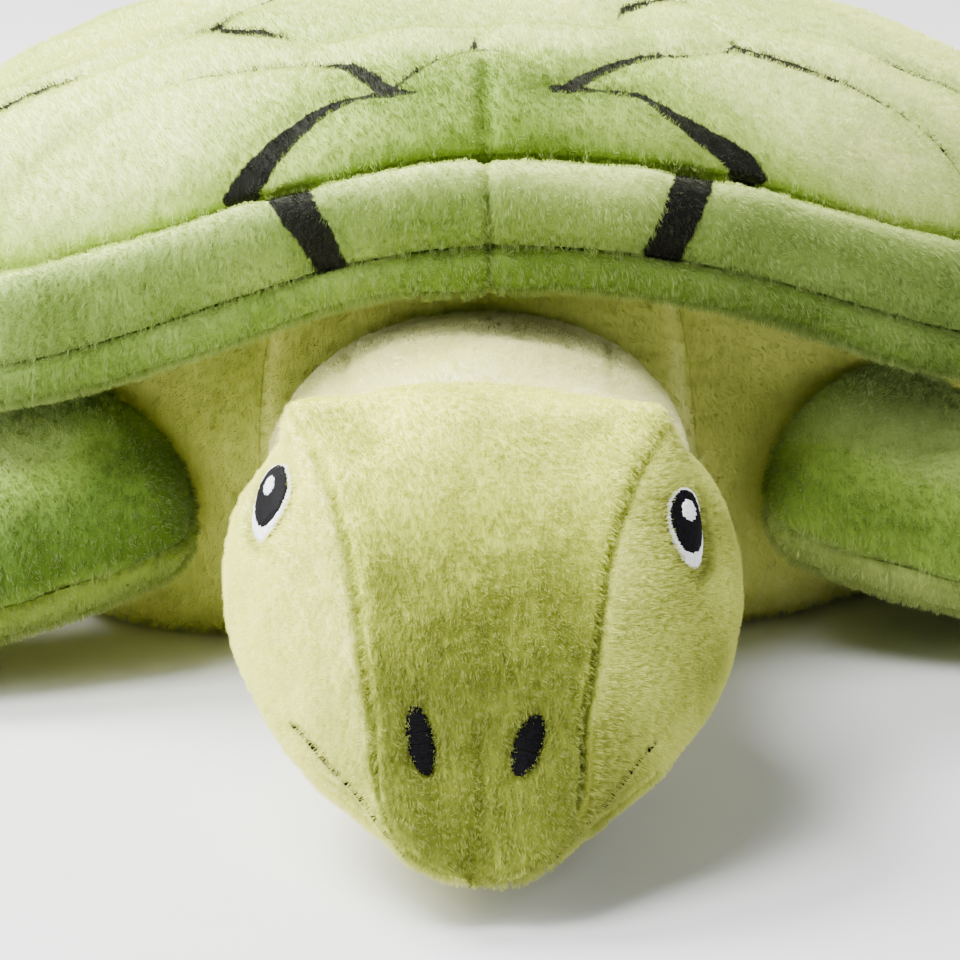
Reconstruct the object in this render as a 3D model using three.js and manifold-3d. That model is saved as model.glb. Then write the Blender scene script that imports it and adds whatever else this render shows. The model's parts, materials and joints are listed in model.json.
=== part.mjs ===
// A plush sea turtle, lying on its belly: sewn pile-fabric panels over stuffed cores.
// Millimetres, +Z up, nose towards -Y. The origin is the middle of the belly's resting face.
import * as THREE from "three";
import Module from "manifold-3d";
import { mergeVertices } from "three/addons/utils/BufferGeometryUtils.js";

const wasm = await Module();
wasm.setup();

// Fabric, clearances
const skin = 2.2;
const gap = 0.35;
const headCoreGap = 1.4;
const patchGap = 0.6;
const seamGap = 0.45;
const rimFootGap = 1.6;
const swingGap = 0.5;

// Shell, seen from above: an oval about a centre behind the origin
const shellCentreY = 20;
const shellHalfWidth = 146;
const shellFront = 112;
const shellBack = 178;
const shellSquareness = 2.2;
const shellTop = 129;
const domeRoundness = 2.1;

// Rim: the seam that runs round it, its arch over the neck, its two bands
const rimSideHeight = 61;
const rimArchRise = 33;
const rimArchSpan = 66;
const rimTailDrop = 8;
const upperBandHeight = 16;
const upperBandDepth = 14;
const lowerBandHeight = 9;
const lowerBandDepth = 5;
const rimUndersideRise = 6;
const bandFullness = 1;

// Body under the shell, and the flat of its belly
const bodyHalfWidth = 112;
const bodyFront = 86;
const bodyBack = 156;
const bodySquareness = 2.3;
const bodyShoulder = 0.92;
const bodyBulge = 1.06;
const bulgeLevel = 0.6;
const bellyShare = 0.8;
const bodyFrontSeam = 30;
const bodyBackSeam = 150;

// Neck: a flattened tube with a rounded end in the body and one in the head
const neckRootY = -76;
const neckHeadY = -150;
const neckRootHeight = 47;
const neckHeadHeight = 48;
const neckHalfWidth = 42;
const neckHalfHeight = 28;
const neckTurn = 18;

// Head: from the nape over the brow and down the face to the beak
const headLength = 86;
const headHalfWidth = 50.4;
const napeHeight = 80.5;
const browHeight = 82.5;
const browPlace = 0.16;
const beakHeight = 8;
const jawHeight = 6.5;
const throatHeight = 11;
const jawFlat = 0.5;
const cheekLevel = 0.55;
const browCorner = { out: 4, angle: 44, along: 0.17, across: 13, length: 0.1 };
const eyeHollow = { out: -2, angle: 66, along: 0.36, across: 13, length: 0.12 };
const crownSeam = {
  brow: 44, waist: 34.5, waistPlace: 0.58, flare: 16, flareLength: 0.3, tuck: 44, tuckPlace: 0.85,
};
const jawSeam = { nape: 118, beak: 112 };
const faceFall = 1.7;
const beakRoundness = 0.66;
const snoutFall = 2.8;
const snoutRoundness = 0.64;
const napeNarrowing = 0.1;
const cheekPlace = 0.35;
const napeSquareness = 2.3;
const headRoll = 4;
const headNod = 12;

// Embroidery on the head
const stitchHeight = 0.7;
const eyeWhite = { angle: 57, along: 0.39, halfWidth: 9, halfLength: 8.4, tilt: 10 };
const pupil = { angle: 55.1, along: 0.385, halfWidth: 6.6, halfLength: 6, tilt: 0 };
const highlight = { angle: 53.4, along: 0.37, halfWidth: 2.3, halfLength: 2, tilt: 0 };
const nostril = { angle: 28, along: 0.9, halfWidth: 1.8, halfLength: 9, tilt: -81 };
const mouthPath = [[93, 0.75], [97, 0.86], [112, 0.94]];
const mouthHalfWidth = 0.9;

// Limbs: root place, direction forwards of sideways, length, half chord, half thickness, how high
// the root is and the share of the length where the limb comes down to the floor
const frontFlipper = {
  root: [83, -46], heading: -24, length: 130, sweepBack: 54, halfChord: 39, halfThick: 18,
  rootLift: 16, landing: 0.9, tilt: 10, taper: 2.6, tipShare: 0.55, up: 5, down: 13,
  round: 16, rings: 8,
};
const rearFlipper = {
  root: [74, 124], heading: 38, length: 92, sweepBack: 26, halfChord: 30, halfThick: 13,
  rootLift: 8, landing: 0.6, tilt: 0, taper: 2.4, tipShare: 0.6, up: 8, down: 12,
  round: 12, rings: 6,
};
const tail = {
  root: [0, 168], heading: 90, length: 44, sweepBack: 0, halfChord: 17, halfThick: 9,
  rootLift: 9, landing: 0.6, tilt: 0, taper: 1.6, tipShare: 0.6, up: 0, down: 0,
  round: 12, rings: 4,
};
const floorGap = 0.6;
const sweepPower = 2.4;

// Facets
const shellSteps = 36;
const domeRings = 7;
const headSteps = 28;
const headRings = 12;
const crownColumns = 10;
const cheekColumns = 6;
const jawColumns = 8;
const bodyEndColumns = 6;
const bodySideColumns = 12;
const neckSteps = 20;
const patchSteps = 14;
const patchRings = 2;
const mouthSteps = 10;
const endRings = 3;
const roomEndRings = 5;
const roomRows = 5;
const limbRoomReach = 60;
const roomBoxiness = 0.45;
const neckRoomReach = 40;

const deg = Math.PI / 180;
const mix = (a, b, t) => a + (b - a) * t;
const clamp = (x, low, high) => Math.min(Math.max(x, low), high);
const easing = (x) => x * x * (3 - 2 * x);
const bump = (x, width) => Math.exp(-(x * x) / (width * width));
const signedPower = (x, power) => Math.sign(x) * Math.abs(x) ** power;

// Colours of the pile fabrics and threads
const fabrics = {
  shell: new THREE.MeshStandardMaterial({ color: 0xb4cf86, roughness: 0.95, metalness: 0 }),
  rim: new THREE.MeshStandardMaterial({ color: 0xa5c46f, roughness: 0.95, metalness: 0 }),
  body: new THREE.MeshStandardMaterial({ color: 0xc3cf7a, roughness: 0.95, metalness: 0 }),
  head: new THREE.MeshStandardMaterial({ color: 0xc9d98b, roughness: 0.95, metalness: 0 }),
  flipper: new THREE.MeshStandardMaterial({ color: 0x8fb548, roughness: 0.95, metalness: 0 }),
  flipperUnder: new THREE.MeshStandardMaterial({ color: 0xb9d07a, roughness: 0.95, metalness: 0 }),
  thread: new THREE.MeshStandardMaterial({ color: 0x17181c, roughness: 0.6, metalness: 0 }),
  whiteThread: new THREE.MeshStandardMaterial({ color: 0xf2f3f2, roughness: 0.6, metalness: 0 }),
  stuffing: new THREE.MeshStandardMaterial({ color: 0xf5f5f0, roughness: 1, metalness: 0 }),
};

// A closed body from triangles: shared corners merged, slivers dropped, faces turned outwards
function closedBody(points, triangles) {
  const raw = new THREE.BufferGeometry();
  raw.setAttribute("position", new THREE.Float32BufferAttribute(points.flat(), 3));
  raw.setIndex(triangles.flat());
  const merged = mergeVertices(raw, 1e-3);
  const corner = merged.index.array;
  const kept = [];
  for (let i = 0; i < corner.length; i += 3) {
    const [a, b, c] = [corner[i], corner[i + 1], corner[i + 2]];
    if (a !== b && b !== c && a !== c) kept.push(a, b, c);
  }
  if (enclosedVolume(merged.attributes.position.array, kept) < 0) kept.reverse();
  merged.setIndex(kept);
  return merged;
}

function enclosedVolume(place, corner) {
  const at = (i) => new THREE.Vector3().fromArray(place, corner[i] * 3);
  let sum = 0;
  for (let i = 0; i < corner.length; i += 3) sum += at(i).dot(at(i + 1).cross(at(i + 2)));
  return sum / 6;
}

// Grid of points, columns by rows, and the triangles between them
function gridPoints(point, columns, rows) {
  const points = [];
  for (let i = 0; i <= columns; i++) {
    for (let j = 0; j <= rows; j++) points.push(point(i, j));
  }
  return points;
}

function gridTriangles(columns, rows, start, turned) {
  const triangles = [];
  for (let i = 0; i < columns; i++) {
    for (let j = 0; j < rows; j++) {
      const a = start + i * (rows + 1) + j;
      const b = a + rows + 1;
      const faces = [[a, b, b + 1], [a, b + 1, a + 1]];
      for (const [p, q, r] of faces) triangles.push(turned ? [r, q, p] : [p, q, r]);
    }
  }
  return triangles;
}

// A core: a surface that closes at both ends and all the way round
function core(point, columns, rows) {
  return closedBody(gridPoints(point, columns, rows), gridTriangles(columns, rows, 0, false));
}

// A panel: an outer sheet, an inner sheet and the edges that join them
function panel(outer, inner, columns, rows, ring = false) {
  const points = [...gridPoints(outer, columns, rows), ...gridPoints(inner, columns, rows)];
  const half = (columns + 1) * (rows + 1);
  const triangles = [
    ...gridTriangles(columns, rows, 0, false), ...gridTriangles(columns, rows, half, true),
  ];
  const edge = (a, b) => triangles.push([b, a, a + half], [b, a + half, b + half]);
  for (let i = 0; i < columns; i++) {
    edge(i * (rows + 1), (i + 1) * (rows + 1));
    edge((i + 1) * (rows + 1) + rows, i * (rows + 1) + rows);
  }
  if (!ring) {
    for (let j = 0; j < rows; j++) {
      triangles.push([j, j + 1, j + half], [j + 1, j + 1 + half, j + half]);
      edge(columns * (rows + 1) + j, columns * (rows + 1) + j + 1);
    }
  }
  return closedBody(points, triangles);
}

function toManifold(geometry) {
  const vertProperties = new Float32Array(geometry.attributes.position.array);
  const triVerts = new Uint32Array(geometry.index.array);
  return new wasm.Manifold(new wasm.Mesh({ numProp: 3, vertProperties, triVerts }));
}

function fromManifold(solid) {
  const mesh = solid.getMesh();
  const geometry = new THREE.BufferGeometry();
  geometry.setAttribute("position", new THREE.Float32BufferAttribute(mesh.vertProperties, 3));
  geometry.setIndex([...mesh.triVerts]);
  return geometry;
}

function cutFrom(geometry, tools) {
  let solid = toManifold(geometry);
  for (const tool of tools) solid = solid.subtract(toManifold(tool));
  return fromManifold(solid);
}

// How much wider a many-sided room has to be, so that its flats clear a round end
function aroundFlats(columns, swing) {
  const ringStep = (90 * deg - swing) / roomEndRings;
  return 1 / (Math.cos((180 * deg) / columns) * Math.cos(ringStep / 2));
}

// Half thickness of the space that a round-ended bar sweeps, a distance out from its pivot
function sweptHalf(half, swing, distance) {
  return half * Math.cos(swing) + (distance + half * Math.sin(swing)) * Math.tan(swing);
}

const turtle = new THREE.Group();
function add(name, geometry, fabric) {
  const mesh = new THREE.Mesh(geometry, fabrics[fabric]);
  mesh.name = name;
  turtle.add(mesh);
  return mesh;
}

// Torso: sections on half planes round the shell's centre, from the top to the belly

function ovalRadius(theta, halfWidth, front, back, squareness) {
  const ahead = Math.cos(theta) > 0 ? front : back;
  const sum = Math.abs(Math.sin(theta) / halfWidth) ** squareness
    + Math.abs(Math.cos(theta) / ahead) ** squareness;
  return sum ** (-1 / squareness);
}

function rimSeamHeight(theta) {
  const turned = Math.abs(Math.atan2(Math.sin(theta), Math.cos(theta))) / deg;
  const arch = Math.cos(clamp(turned / rimArchSpan, 0, 1) * 90 * deg) ** 2;
  const tailShare = easing(clamp((turned - 90) / 90, 0, 1));
  return rimSideHeight + rimArchRise * arch - rimTailDrop * tailShare;
}

function bezier(points, t) {
  let left = points;
  while (left.length > 1) {
    left = left.slice(1).map((p, i) => [mix(left[i][0], p[0], t), mix(left[i][1], p[1], t)]);
  }
  return left[0];
}

const bandRows = 3;
const lowerRows = 2;
const undersideRows = 1;
const wallRows = 5;
const bellyRows = 1;
const creaseRow = domeRings;
const seamRow = creaseRow + bandRows;
const rimEdgeRow = seamRow + lowerRows;
const bodyTopRow = rimEdgeRow + undersideRows;
const bellyEdgeRow = bodyTopRow + wallRows;
const bellyRow = bellyEdgeRow + bellyRows;

function torsoOutline(theta) {
  const rim = ovalRadius(theta, shellHalfWidth, shellFront, shellBack, shellSquareness);
  const body = ovalRadius(theta, bodyHalfWidth, bodyFront, bodyBack, bodySquareness);
  const height = rimSeamHeight(theta);
  const crease = [rim - upperBandDepth, height + upperBandHeight];
  const seam = [rim, height];
  const rimEdge = [rim - lowerBandDepth, height - lowerBandHeight];
  const bodyTop = [body * bodyShoulder, rimEdge[1] + rimUndersideRise];
  const bellyEdge = [body * bellyShare, 0];
  const outline = [];
  for (let i = 0; i <= domeRings; i++) {
    const out = Math.sin((i / domeRings) * 90 * deg);
    const rise = Math.sqrt(1 - out ** domeRoundness);
    outline.push([crease[0] * out, mix(crease[1], shellTop, rise)]);
  }
  const bandCrown = [rim + bandFullness, height + upperBandHeight - bandFullness];
  for (let i = 1; i <= bandRows; i++) outline.push(bezier([crease, bandCrown, seam], i / bandRows));
  const edgeCrown = [rim + bandFullness, rimEdge[1] + bandFullness];
  for (let i = 1; i <= lowerRows; i++) outline.push(bezier([seam, edgeCrown, rimEdge], i / lowerRows));
  outline.push(bodyTop);
  const high = [body * bodyBulge, bodyTop[1] * bulgeLevel];
  const low = [body * bodyBulge, 0];
  for (let i = 1; i <= wallRows; i++) outline.push(bezier([bodyTop, high, low, bellyEdge], i / wallRows));
  outline.push([0, 0]);
  return outline;
}

// The outline moved inwards by a distance, square to itself
function insetOutline(outline, distance) {
  return outline.map(([radius, height], i) => {
    const before = outline[Math.max(i - 1, 0)];
    const after = outline[Math.min(i + 1, outline.length - 1)];
    const run = Math.hypot(after[0] - before[0], after[1] - before[1]);
    const inR = (after[1] - before[1]) / run;
    const inZ = -(after[0] - before[0]) / run;
    if (i === 0) return [0, height - distance];
    if (i === outline.length - 1) return [0, height + distance];
    return [Math.max(radius + inR * distance, 0), height + inZ * distance];
  });
}

const torsoCache = new Map();
function torsoPoint(theta, row, inset) {
  const key = `${theta.toFixed(6)} ${inset}`;
  if (!torsoCache.has(key)) torsoCache.set(key, insetOutline(torsoOutline(theta), inset));
  const [radius, height] = torsoCache.get(key)[row];
  return [radius * Math.sin(theta), shellCentreY - radius * Math.cos(theta), height];
}

// A torso panel between two angles and two rows, its edges drawn back from the seams
function torsoPanel(from, to, firstRow, lastRow, columns) {
  const sheet = (inset) => (i, j) => {
    const theta = mix(from, to, i / columns) * deg;
    const row = firstRow + j;
    const here = new THREE.Vector3(...torsoPoint(theta, row, inset));
    if (row === firstRow && firstRow > 0) drawBack(here, torsoPoint(theta, row + 1, inset));
    if (row === lastRow && lastRow < bellyRow) {
      drawBack(here, torsoPoint(theta, row - 1, inset), row === bodyTopRow ? rimFootGap : seamGap / 2);
    }
    const ring = to - from === 360;
    const step = ((to - from) / columns) * deg;
    if (i === 0 && !ring) drawBack(here, torsoPoint(theta + step, row, inset));
    if (i === columns && !ring) drawBack(here, torsoPoint(theta - step, row, inset));
    return here.toArray();
  };
  return panel(sheet(0), sheet(skin), columns, lastRow - firstRow, to - from === 360);
}

function drawBack(point, neighbour, distance = seamGap / 2) {
  const towards = new THREE.Vector3(...neighbour).sub(point);
  if (towards.length() > 2 * distance) point.addScaledVector(towards.normalize(), distance);
}

// The shell's core ends on a fan just above the rim's underside, and the body's just below it
function torsoCore(firstRow, lastRow, centreHeight, lift) {
  const inset = skin + gap;
  const rows = lastRow - firstRow + 1;
  const atTop = firstRow > 0;
  const point = (i, j) => {
    const theta = (i / shellSteps) * 360 * deg;
    const capRow = atTop ? j === 0 : j === rows;
    if (capRow) return [0, shellCentreY, centreHeight + lift];
    const row = atTop ? firstRow + j - 1 : firstRow + j;
    const [x, y, z] = torsoPoint(theta, row, inset);
    const onFan = row === bodyTopRow;
    return [x, y, onFan ? z + lift : z];
  };
  return core(point, shellSteps, rows);
}

// Limbs: elliptical sections along a curved middle line, with a rounded root and tip

function limbFullness(limb, share) {
  const fullness = Math.sqrt(1 - clamp(share, 0, 1) ** limb.taper);
  return [fullness, fullness * mix(1, limb.tipShare, clamp(share, 0, 1))];
}

function limbFrame(limb, v, inset) {
  const reach = limb.length - limb.halfThick;
  const along = (reach - inset) * clamp(v, 0, 1);
  const share = along / reach;
  const heading = limb.heading * deg;
  const out = [Math.cos(heading), Math.sin(heading)];
  const back = limb.sweepBack > 0 ? [-out[1], out[0]] : [0, 0];
  const swept = limb.sweepBack * share ** sweepPower;
  const slope = (limb.sweepBack * sweepPower * share ** (sweepPower - 1)) / reach;
  const middle = [0, 1].map((k) => limb.root[k] + out[k] * along + back[k] * swept);
  const span = new THREE.Vector3(out[0] + back[0] * slope, out[1] + back[1] * slope, 0).normalize();
  const level = new THREE.Vector3(-span.y, span.x, 0);
  const chord = level.clone().applyAxisAngle(span, limb.tilt * (1 - share) * deg);
  const up = span.clone().cross(chord);
  const lift = limb.rootLift * (1 - clamp(share / limb.landing, 0, 1)) ** 2;
  const height = floorGap + limb.halfThick * limbFullness(limb, share)[1] + lift;
  return { middle: new THREE.Vector3(...middle, height), span, chord, up };
}

function limbPoint(limb, phi, v, inset) {
  const { middle, span, chord, up } = limbFrame(limb, v, inset);
  const [fullness, thinness] = limbFullness(limb, v);
  const thick = limb.halfThick - inset;
  const wide = limb.halfChord - inset;
  const end = v < 0 ? -v * 90 * deg : 0;
  const across = v < 0 ? Math.cos(end) : fullness;
  const through = v < 0 ? Math.cos(end) : thinness;
  middle.addScaledVector(span, -thick * Math.sin(end));
  middle.addScaledVector(chord, wide * across * Math.sin(phi));
  middle.addScaledVector(up, thick * through * Math.cos(phi));
  return middle.toArray();
}

function limbRow(limb, j) {
  if (j < endRings) return -1 + j / endRings;
  return Math.sin(((j - endRings) / limb.rings) * 90 * deg);
}

function limbGrid(limb, inset, from, to) {
  const mirrored = (side, [x, y, z]) => [side * x, y, z];
  return (side, columns) => (i, j) => {
    const phi = mix(from, to, i / columns) * deg;
    return mirrored(side, limbPoint(limb, phi, limbRow(limb, j), inset));
  };
}

// The upper panel is lifted by half the seam's gap, and the lower one lowered
function limbPanel(limb, side, middleAngle) {
  const [from, to] = [middleAngle - 90, middleAngle + 90];
  const lift = (seamGap / 2) * Math.cos(middleAngle * deg);
  const columns = limb.round / 2;
  const sheet = (inset) => (i, j) => {
    const [x, y, z] = limbGrid(limb, inset, from, to)(side, columns)(i, j);
    return [x, y, z + lift];
  };
  return panel(sheet(0), sheet(skin), columns, endRings + limb.rings);
}

function limbBody(limb, side, inset) {
  const point = limbGrid(limb, inset, 0, 360)(side, limb.round);
  return core(point, limb.round, endRings + limb.rings);
}

// The room that a limb needs in the body: its root, opening outwards by the flapping angle
function limbRoom(limb, side) {
  const swing = Math.max(limb.up, limb.down) * deg;
  const around = aroundFlats(limb.round, swing);
  const half = (limb.halfThick + swingGap) * around;
  const reach = limb.length - limb.halfThick;
  const droop = (2 * limb.rootLift) / (limb.landing * reach);
  const swept = half * (1 + droop * Math.tan(swing));
  const rows = roomEndRings + roomRows;
  const point = (i, j) => {
    const phi = (i / limb.round) * 360 * deg;
    const end = mix(-90 * deg, -swing, clamp(j / roomEndRings, 0, 1));
    const inEnd = j <= roomEndRings;
    const outwards = clamp((j - roomEndRings - 1) / (roomRows - 2), 0, 1);
    const distance = limbRoomReach * outwards ** 2;
    const { middle, span, chord, up } = limbFrame(limb, distance / reach, 0);
    const last = j === rows ? 0 : 1;
    const wide = (limb.halfChord + swingGap) * around * (inEnd ? Math.cos(end) : 1) * last;
    const high = (inEnd ? half * Math.cos(end) : sweptHalf(swept, swing, distance)) * last;
    const boxy = mix(1, roomBoxiness, Math.sqrt(outwards));
    middle.addScaledVector(span, inEnd ? half * Math.sin(end) : 0);
    middle.addScaledVector(chord, wide * signedPower(Math.sin(phi), boxy));
    middle.addScaledVector(up, high * signedPower(Math.cos(phi), boxy));
    return [side * middle.x, middle.y, middle.z];
  };
  return core(point, limb.round, rows);
}

// Neck

function neckPoint(phi, v, inset) {
  const wide = neckHalfWidth - inset;
  const high = neckHalfHeight - inset;
  const beyond = v < 0 ? -v : Math.max(v - 1, 0);
  const section = Math.cos(beyond * 90 * deg);
  const reach = Math.sin(beyond * 90 * deg);
  const middle = mix(neckRootY, neckHeadY, clamp(v, 0, 1));
  const y = v < 0 ? middle + wide * reach : middle - high * reach;
  const level = mix(neckRootHeight, neckHeadHeight, clamp(v, 0, 1));
  return [wide * section * Math.sin(phi), y, level + high * section * Math.cos(phi)];
}

const neckTubeRings = 3;
const neckRings = neckTubeRings + 2 * endRings;
function neckRow(j) {
  if (j < endRings) return -1 + j / endRings;
  if (j > endRings + neckTubeRings) return 1 + (j - endRings - neckTubeRings) / endRings;
  return (j - endRings) / neckTubeRings;
}

function neckBody(inset) {
  const point = (i, j) => neckPoint((i / neckSteps) * 360 * deg, neckRow(j), inset);
  return core(point, neckSteps, neckRings);
}

function neckPanel(middleAngle) {
  const edge = (seamGap / 2 / neckHalfHeight) / deg;
  const columns = neckSteps / 2;
  const sheet = (inset) => (i, j) => {
    const phi = mix(middleAngle - 90 + edge, middleAngle + 90 - edge, i / columns) * deg;
    return neckPoint(phi, neckRow(j), inset);
  };
  return panel(sheet(0), sheet(skin), columns, neckRings);
}

// Head

function crownLine(q) {
  if (q < browPlace) return browHeight - (browHeight - napeHeight) * (1 - q / browPlace) ** 2;
  const down = (q - browPlace) / (1 - browPlace);
  return beakHeight + (browHeight - beakHeight) * Math.max(1 - down ** faceFall, 0) ** beakRoundness;
}

function jawLine(q) {
  if (q < jawFlat) return jawHeight + (throatHeight - jawHeight) * (1 - q / jawFlat) ** 2;
  return jawHeight + (beakHeight - jawHeight) * ((q - jawFlat) / (1 - jawFlat)) ** 3;
}

function headWidthAt(q) {
  const rear = 1 - napeNarrowing * clamp(1 - q / cheekPlace, 0, 1) ** 2;
  return headHalfWidth * rear * Math.max(1 - q ** snoutFall, 0) ** snoutRoundness;
}

function raised(form, angle, along) {
  return form.out * bump(angle - form.angle, form.across) * bump(along - form.along, form.length);
}

function headPoint(phi, q, inset) {
  const turned = Math.atan2(Math.sin(phi), Math.cos(phi));
  const side = Math.abs(turned) / deg;
  const forms = raised(browCorner, side, q) + raised(eyeHollow, side, q);
  const share = (headHalfWidth - inset + forms) / headHalfWidth;
  const top = crownLine(q);
  const bottom = jawLine(q);
  const level = mix(bottom, top, cheekLevel);
  const tallness = Math.cos(turned) > 0 ? top - level : level - bottom;
  const squareness = mix(napeSquareness, 2, clamp(q, 0, 1));
  const x = headWidthAt(q) * share * signedPower(Math.sin(turned), 2 / squareness);
  const up = tallness * share * signedPower(Math.cos(turned), 2 / squareness);
  const y = neckHeadY - (headLength - inset) * q;
  const roll = headRoll * deg;
  const rise = level + up - neckHeadHeight;
  return [
    x * Math.cos(roll) + rise * Math.sin(roll), y,
    neckHeadHeight + rise * Math.cos(roll) - x * Math.sin(roll),
  ];
}

const headRow = (j) => Math.sin((j / headRings) * 90 * deg);

// Where the crown's side seams run: in from the brow, out again over the beak, round under its tip
function crownSeamAngle(q) {
  const { brow, waist, waistPlace, flare, flareLength, tuck, tuckPlace } = crownSeam;
  const narrowed = mix(brow, waist, easing(clamp(q / waistPlace, 0, 1)));
  const flared = flare * (Math.max(q - waistPlace, 0) / flareLength) ** 2;
  return narrowed + flared + tuck * easing(clamp((q - tuckPlace) / (1 - tuckPlace), 0, 1));
}

const jawSeamAngle = (q) => mix(jawSeam.nape, jawSeam.beak, q);

function headSheet(fromAngle, toAngle, columns, side) {
  const edge = (seamGap / 2 / headHalfWidth) / deg;
  const sheet = (inset) => (i, j) => {
    const q = headRow(j);
    const from = fromAngle(q) + edge;
    const to = toAngle(q) - edge;
    return headPoint(side * mix(from, to, i / columns) * deg, q, inset);
  };
  return panel(sheet(0), sheet(skin), columns, headRings);
}

function headBody(inset) {
  const point = (i, j) => {
    if (j === 0) return [0, neckHeadY, neckHeadHeight];
    return headPoint((i / headSteps) * 360 * deg, headRow(j - 1), inset);
  };
  return core(point, headSteps, headRings + 1);
}

// An embroidered oval that lies on the head
function headPatch(oval, lift, side) {
  const spin = oval.tilt * deg;
  const sheet = (inset) => (i, j) => {
    const turn = (i / patchSteps) * 360 * deg;
    const across = oval.halfWidth * (j / patchRings) * Math.cos(turn);
    const down = oval.halfLength * (j / patchRings) * Math.sin(turn);
    const angle = (across * Math.cos(spin) - down * Math.sin(spin)) / (headHalfWidth * deg);
    const along = (across * Math.sin(spin) + down * Math.cos(spin)) / headLength;
    return headPoint(side * (oval.angle + angle) * deg, oval.along + along, inset);
  };
  return panel(sheet(-lift - stitchHeight), sheet(-lift), patchSteps, patchRings, true);
}

// The mouth's stitched line, from the cheek forwards to the beak
function mouthStitch(side) {
  const sheet = (inset) => (i, j) => {
    const [middle, along] = bezier(mouthPath, i / mouthSteps);
    const halfAngle = mouthHalfWidth / (headHalfWidth * deg);
    return headPoint(side * mix(middle - halfAngle, middle + halfAngle, j) * deg, along, inset);
  };
  return panel(sheet(-patchGap - stitchHeight), sheet(-patchGap), mouthSteps, 1);
}

// The room that the neck needs in the body, opening sideways by its turn
function neckRoom() {
  const swing = neckTurn * deg;
  const around = aroundFlats(neckSteps, swing);
  const half = (neckHalfWidth + swingGap) * around;
  const high = (neckHalfHeight + swingGap) * around;
  const rows = roomEndRings + 2;
  const point = (i, j) => {
    const phi = (i / neckSteps) * 360 * deg;
    const end = mix(-90 * deg, -swing, clamp(j / roomEndRings, 0, 1));
    const inEnd = j <= roomEndRings;
    const last = j === rows ? 0 : 1;
    const section = inEnd ? Math.cos(end) : 1;
    const wide = inEnd ? half * section : sweptHalf(half, swing, neckRoomReach);
    const y = inEnd ? neckRootY - half * Math.sin(end) : neckRootY - neckRoomReach;
    return [
      wide * last * Math.sin(phi), y, neckRootHeight + high * section * last * Math.cos(phi),
    ];
  };
  return core(point, neckSteps, rows);
}

// The room that the neck's front end needs in the head, opening backwards by the nod
function nodRoom() {
  const swing = headNod * deg;
  const around = aroundFlats(neckSteps, swing);
  const half = (neckHalfHeight + swingGap) * around;
  const wide = (neckHalfWidth + swingGap) * around;
  const rows = roomEndRings + 2;
  const point = (i, j) => {
    const phi = (i / neckSteps) * 360 * deg;
    const end = mix(-90 * deg, -swing, clamp(j / roomEndRings, 0, 1));
    const inEnd = j <= roomEndRings;
    const last = j === rows ? 0 : 1;
    const section = inEnd ? Math.cos(end) : 1;
    const high = inEnd ? half * section : sweptHalf(half, swing, neckRoomReach);
    const y = inEnd ? neckHeadY + half * Math.sin(end) : neckHeadY + neckRoomReach;
    return [
      wide * section * last * Math.sin(phi), y, neckHeadHeight + high * last * Math.cos(phi),
    ];
  };
  return core(point, neckSteps, rows);
}

const frontPair = [limbRoom(frontFlipper, 1), limbRoom(frontFlipper, -1)];
const rearPair = [limbRoom(rearFlipper, 1), limbRoom(rearFlipper, -1)];
const tailRoom = limbRoom(tail, 1);
const besideNeck = neckRoom();
const insideHead = nodRoom();

function addTorso() {
  const fanHeight = rimSideHeight;
  add("shell_stuffing", torsoCore(0, bodyTopRow, fanHeight, gap / 2), "stuffing");
  const bodyCore = torsoCore(bodyTopRow, bellyRow, fanHeight, -gap / 2);
  add("body_stuffing", cutFrom(bodyCore, [besideNeck, ...frontPair, ...rearPair, tailRoom]), "stuffing");
  add("shell_top_panel", torsoPanel(0, 360, 0, creaseRow, shellSteps), "shell");
  add("rim_top_right", torsoPanel(0, 180, creaseRow, seamRow, shellSteps / 2), "rim");
  add("rim_top_left", torsoPanel(-180, 0, creaseRow, seamRow, shellSteps / 2), "rim");
  add("rim_under_right", torsoPanel(0, 180, seamRow, bodyTopRow, shellSteps / 2), "rim");
  add("rim_under_left", torsoPanel(-180, 0, seamRow, bodyTopRow, shellSteps / 2), "rim");
  addBodyPanels();
}

function addBodyPanels() {
  const wall = (from, to, columns) => torsoPanel(from, to, bodyTopRow, bellyEdgeRow, columns);
  const ahead = wall(-bodyFrontSeam, bodyFrontSeam, bodyEndColumns);
  add("body_front_panel", cutFrom(ahead, [besideNeck]), "body");
  for (const [name, side, k] of [["right", 1, 0], ["left", -1, 1]]) {
    const ends = [side * bodyFrontSeam, side * bodyBackSeam].sort((a, b) => a - b);
    const rooms = [besideNeck, frontPair[k], rearPair[k]];
    add(`body_side_${name}`, cutFrom(wall(...ends, bodySideColumns), rooms), "body");
  }
  const behind = wall(bodyBackSeam, 360 - bodyBackSeam, bodyEndColumns);
  add("body_back_panel", cutFrom(behind, [tailRoom, ...rearPair]), "body");
  const belly = torsoPanel(0, 360, bellyEdgeRow, bellyRow, shellSteps);
  add("belly_panel", cutFrom(belly, [...frontPair, ...rearPair, tailRoom]), "body");
}

function addLimb(name, limb, side) {
  add(`${name}_stuffing`, limbBody(limb, side, skin + gap), "stuffing");
  add(`${name}_upper`, limbPanel(limb, side, 0), "flipper");
  add(`${name}_lower`, limbPanel(limb, side, 180), "flipperUnder");
}

function addNeck() {
  add("neck_stuffing", neckBody(skin + gap), "stuffing");
  add("neck_top_panel", neckPanel(0), "head");
  add("neck_throat_panel", neckPanel(180), "head");
}

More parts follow.
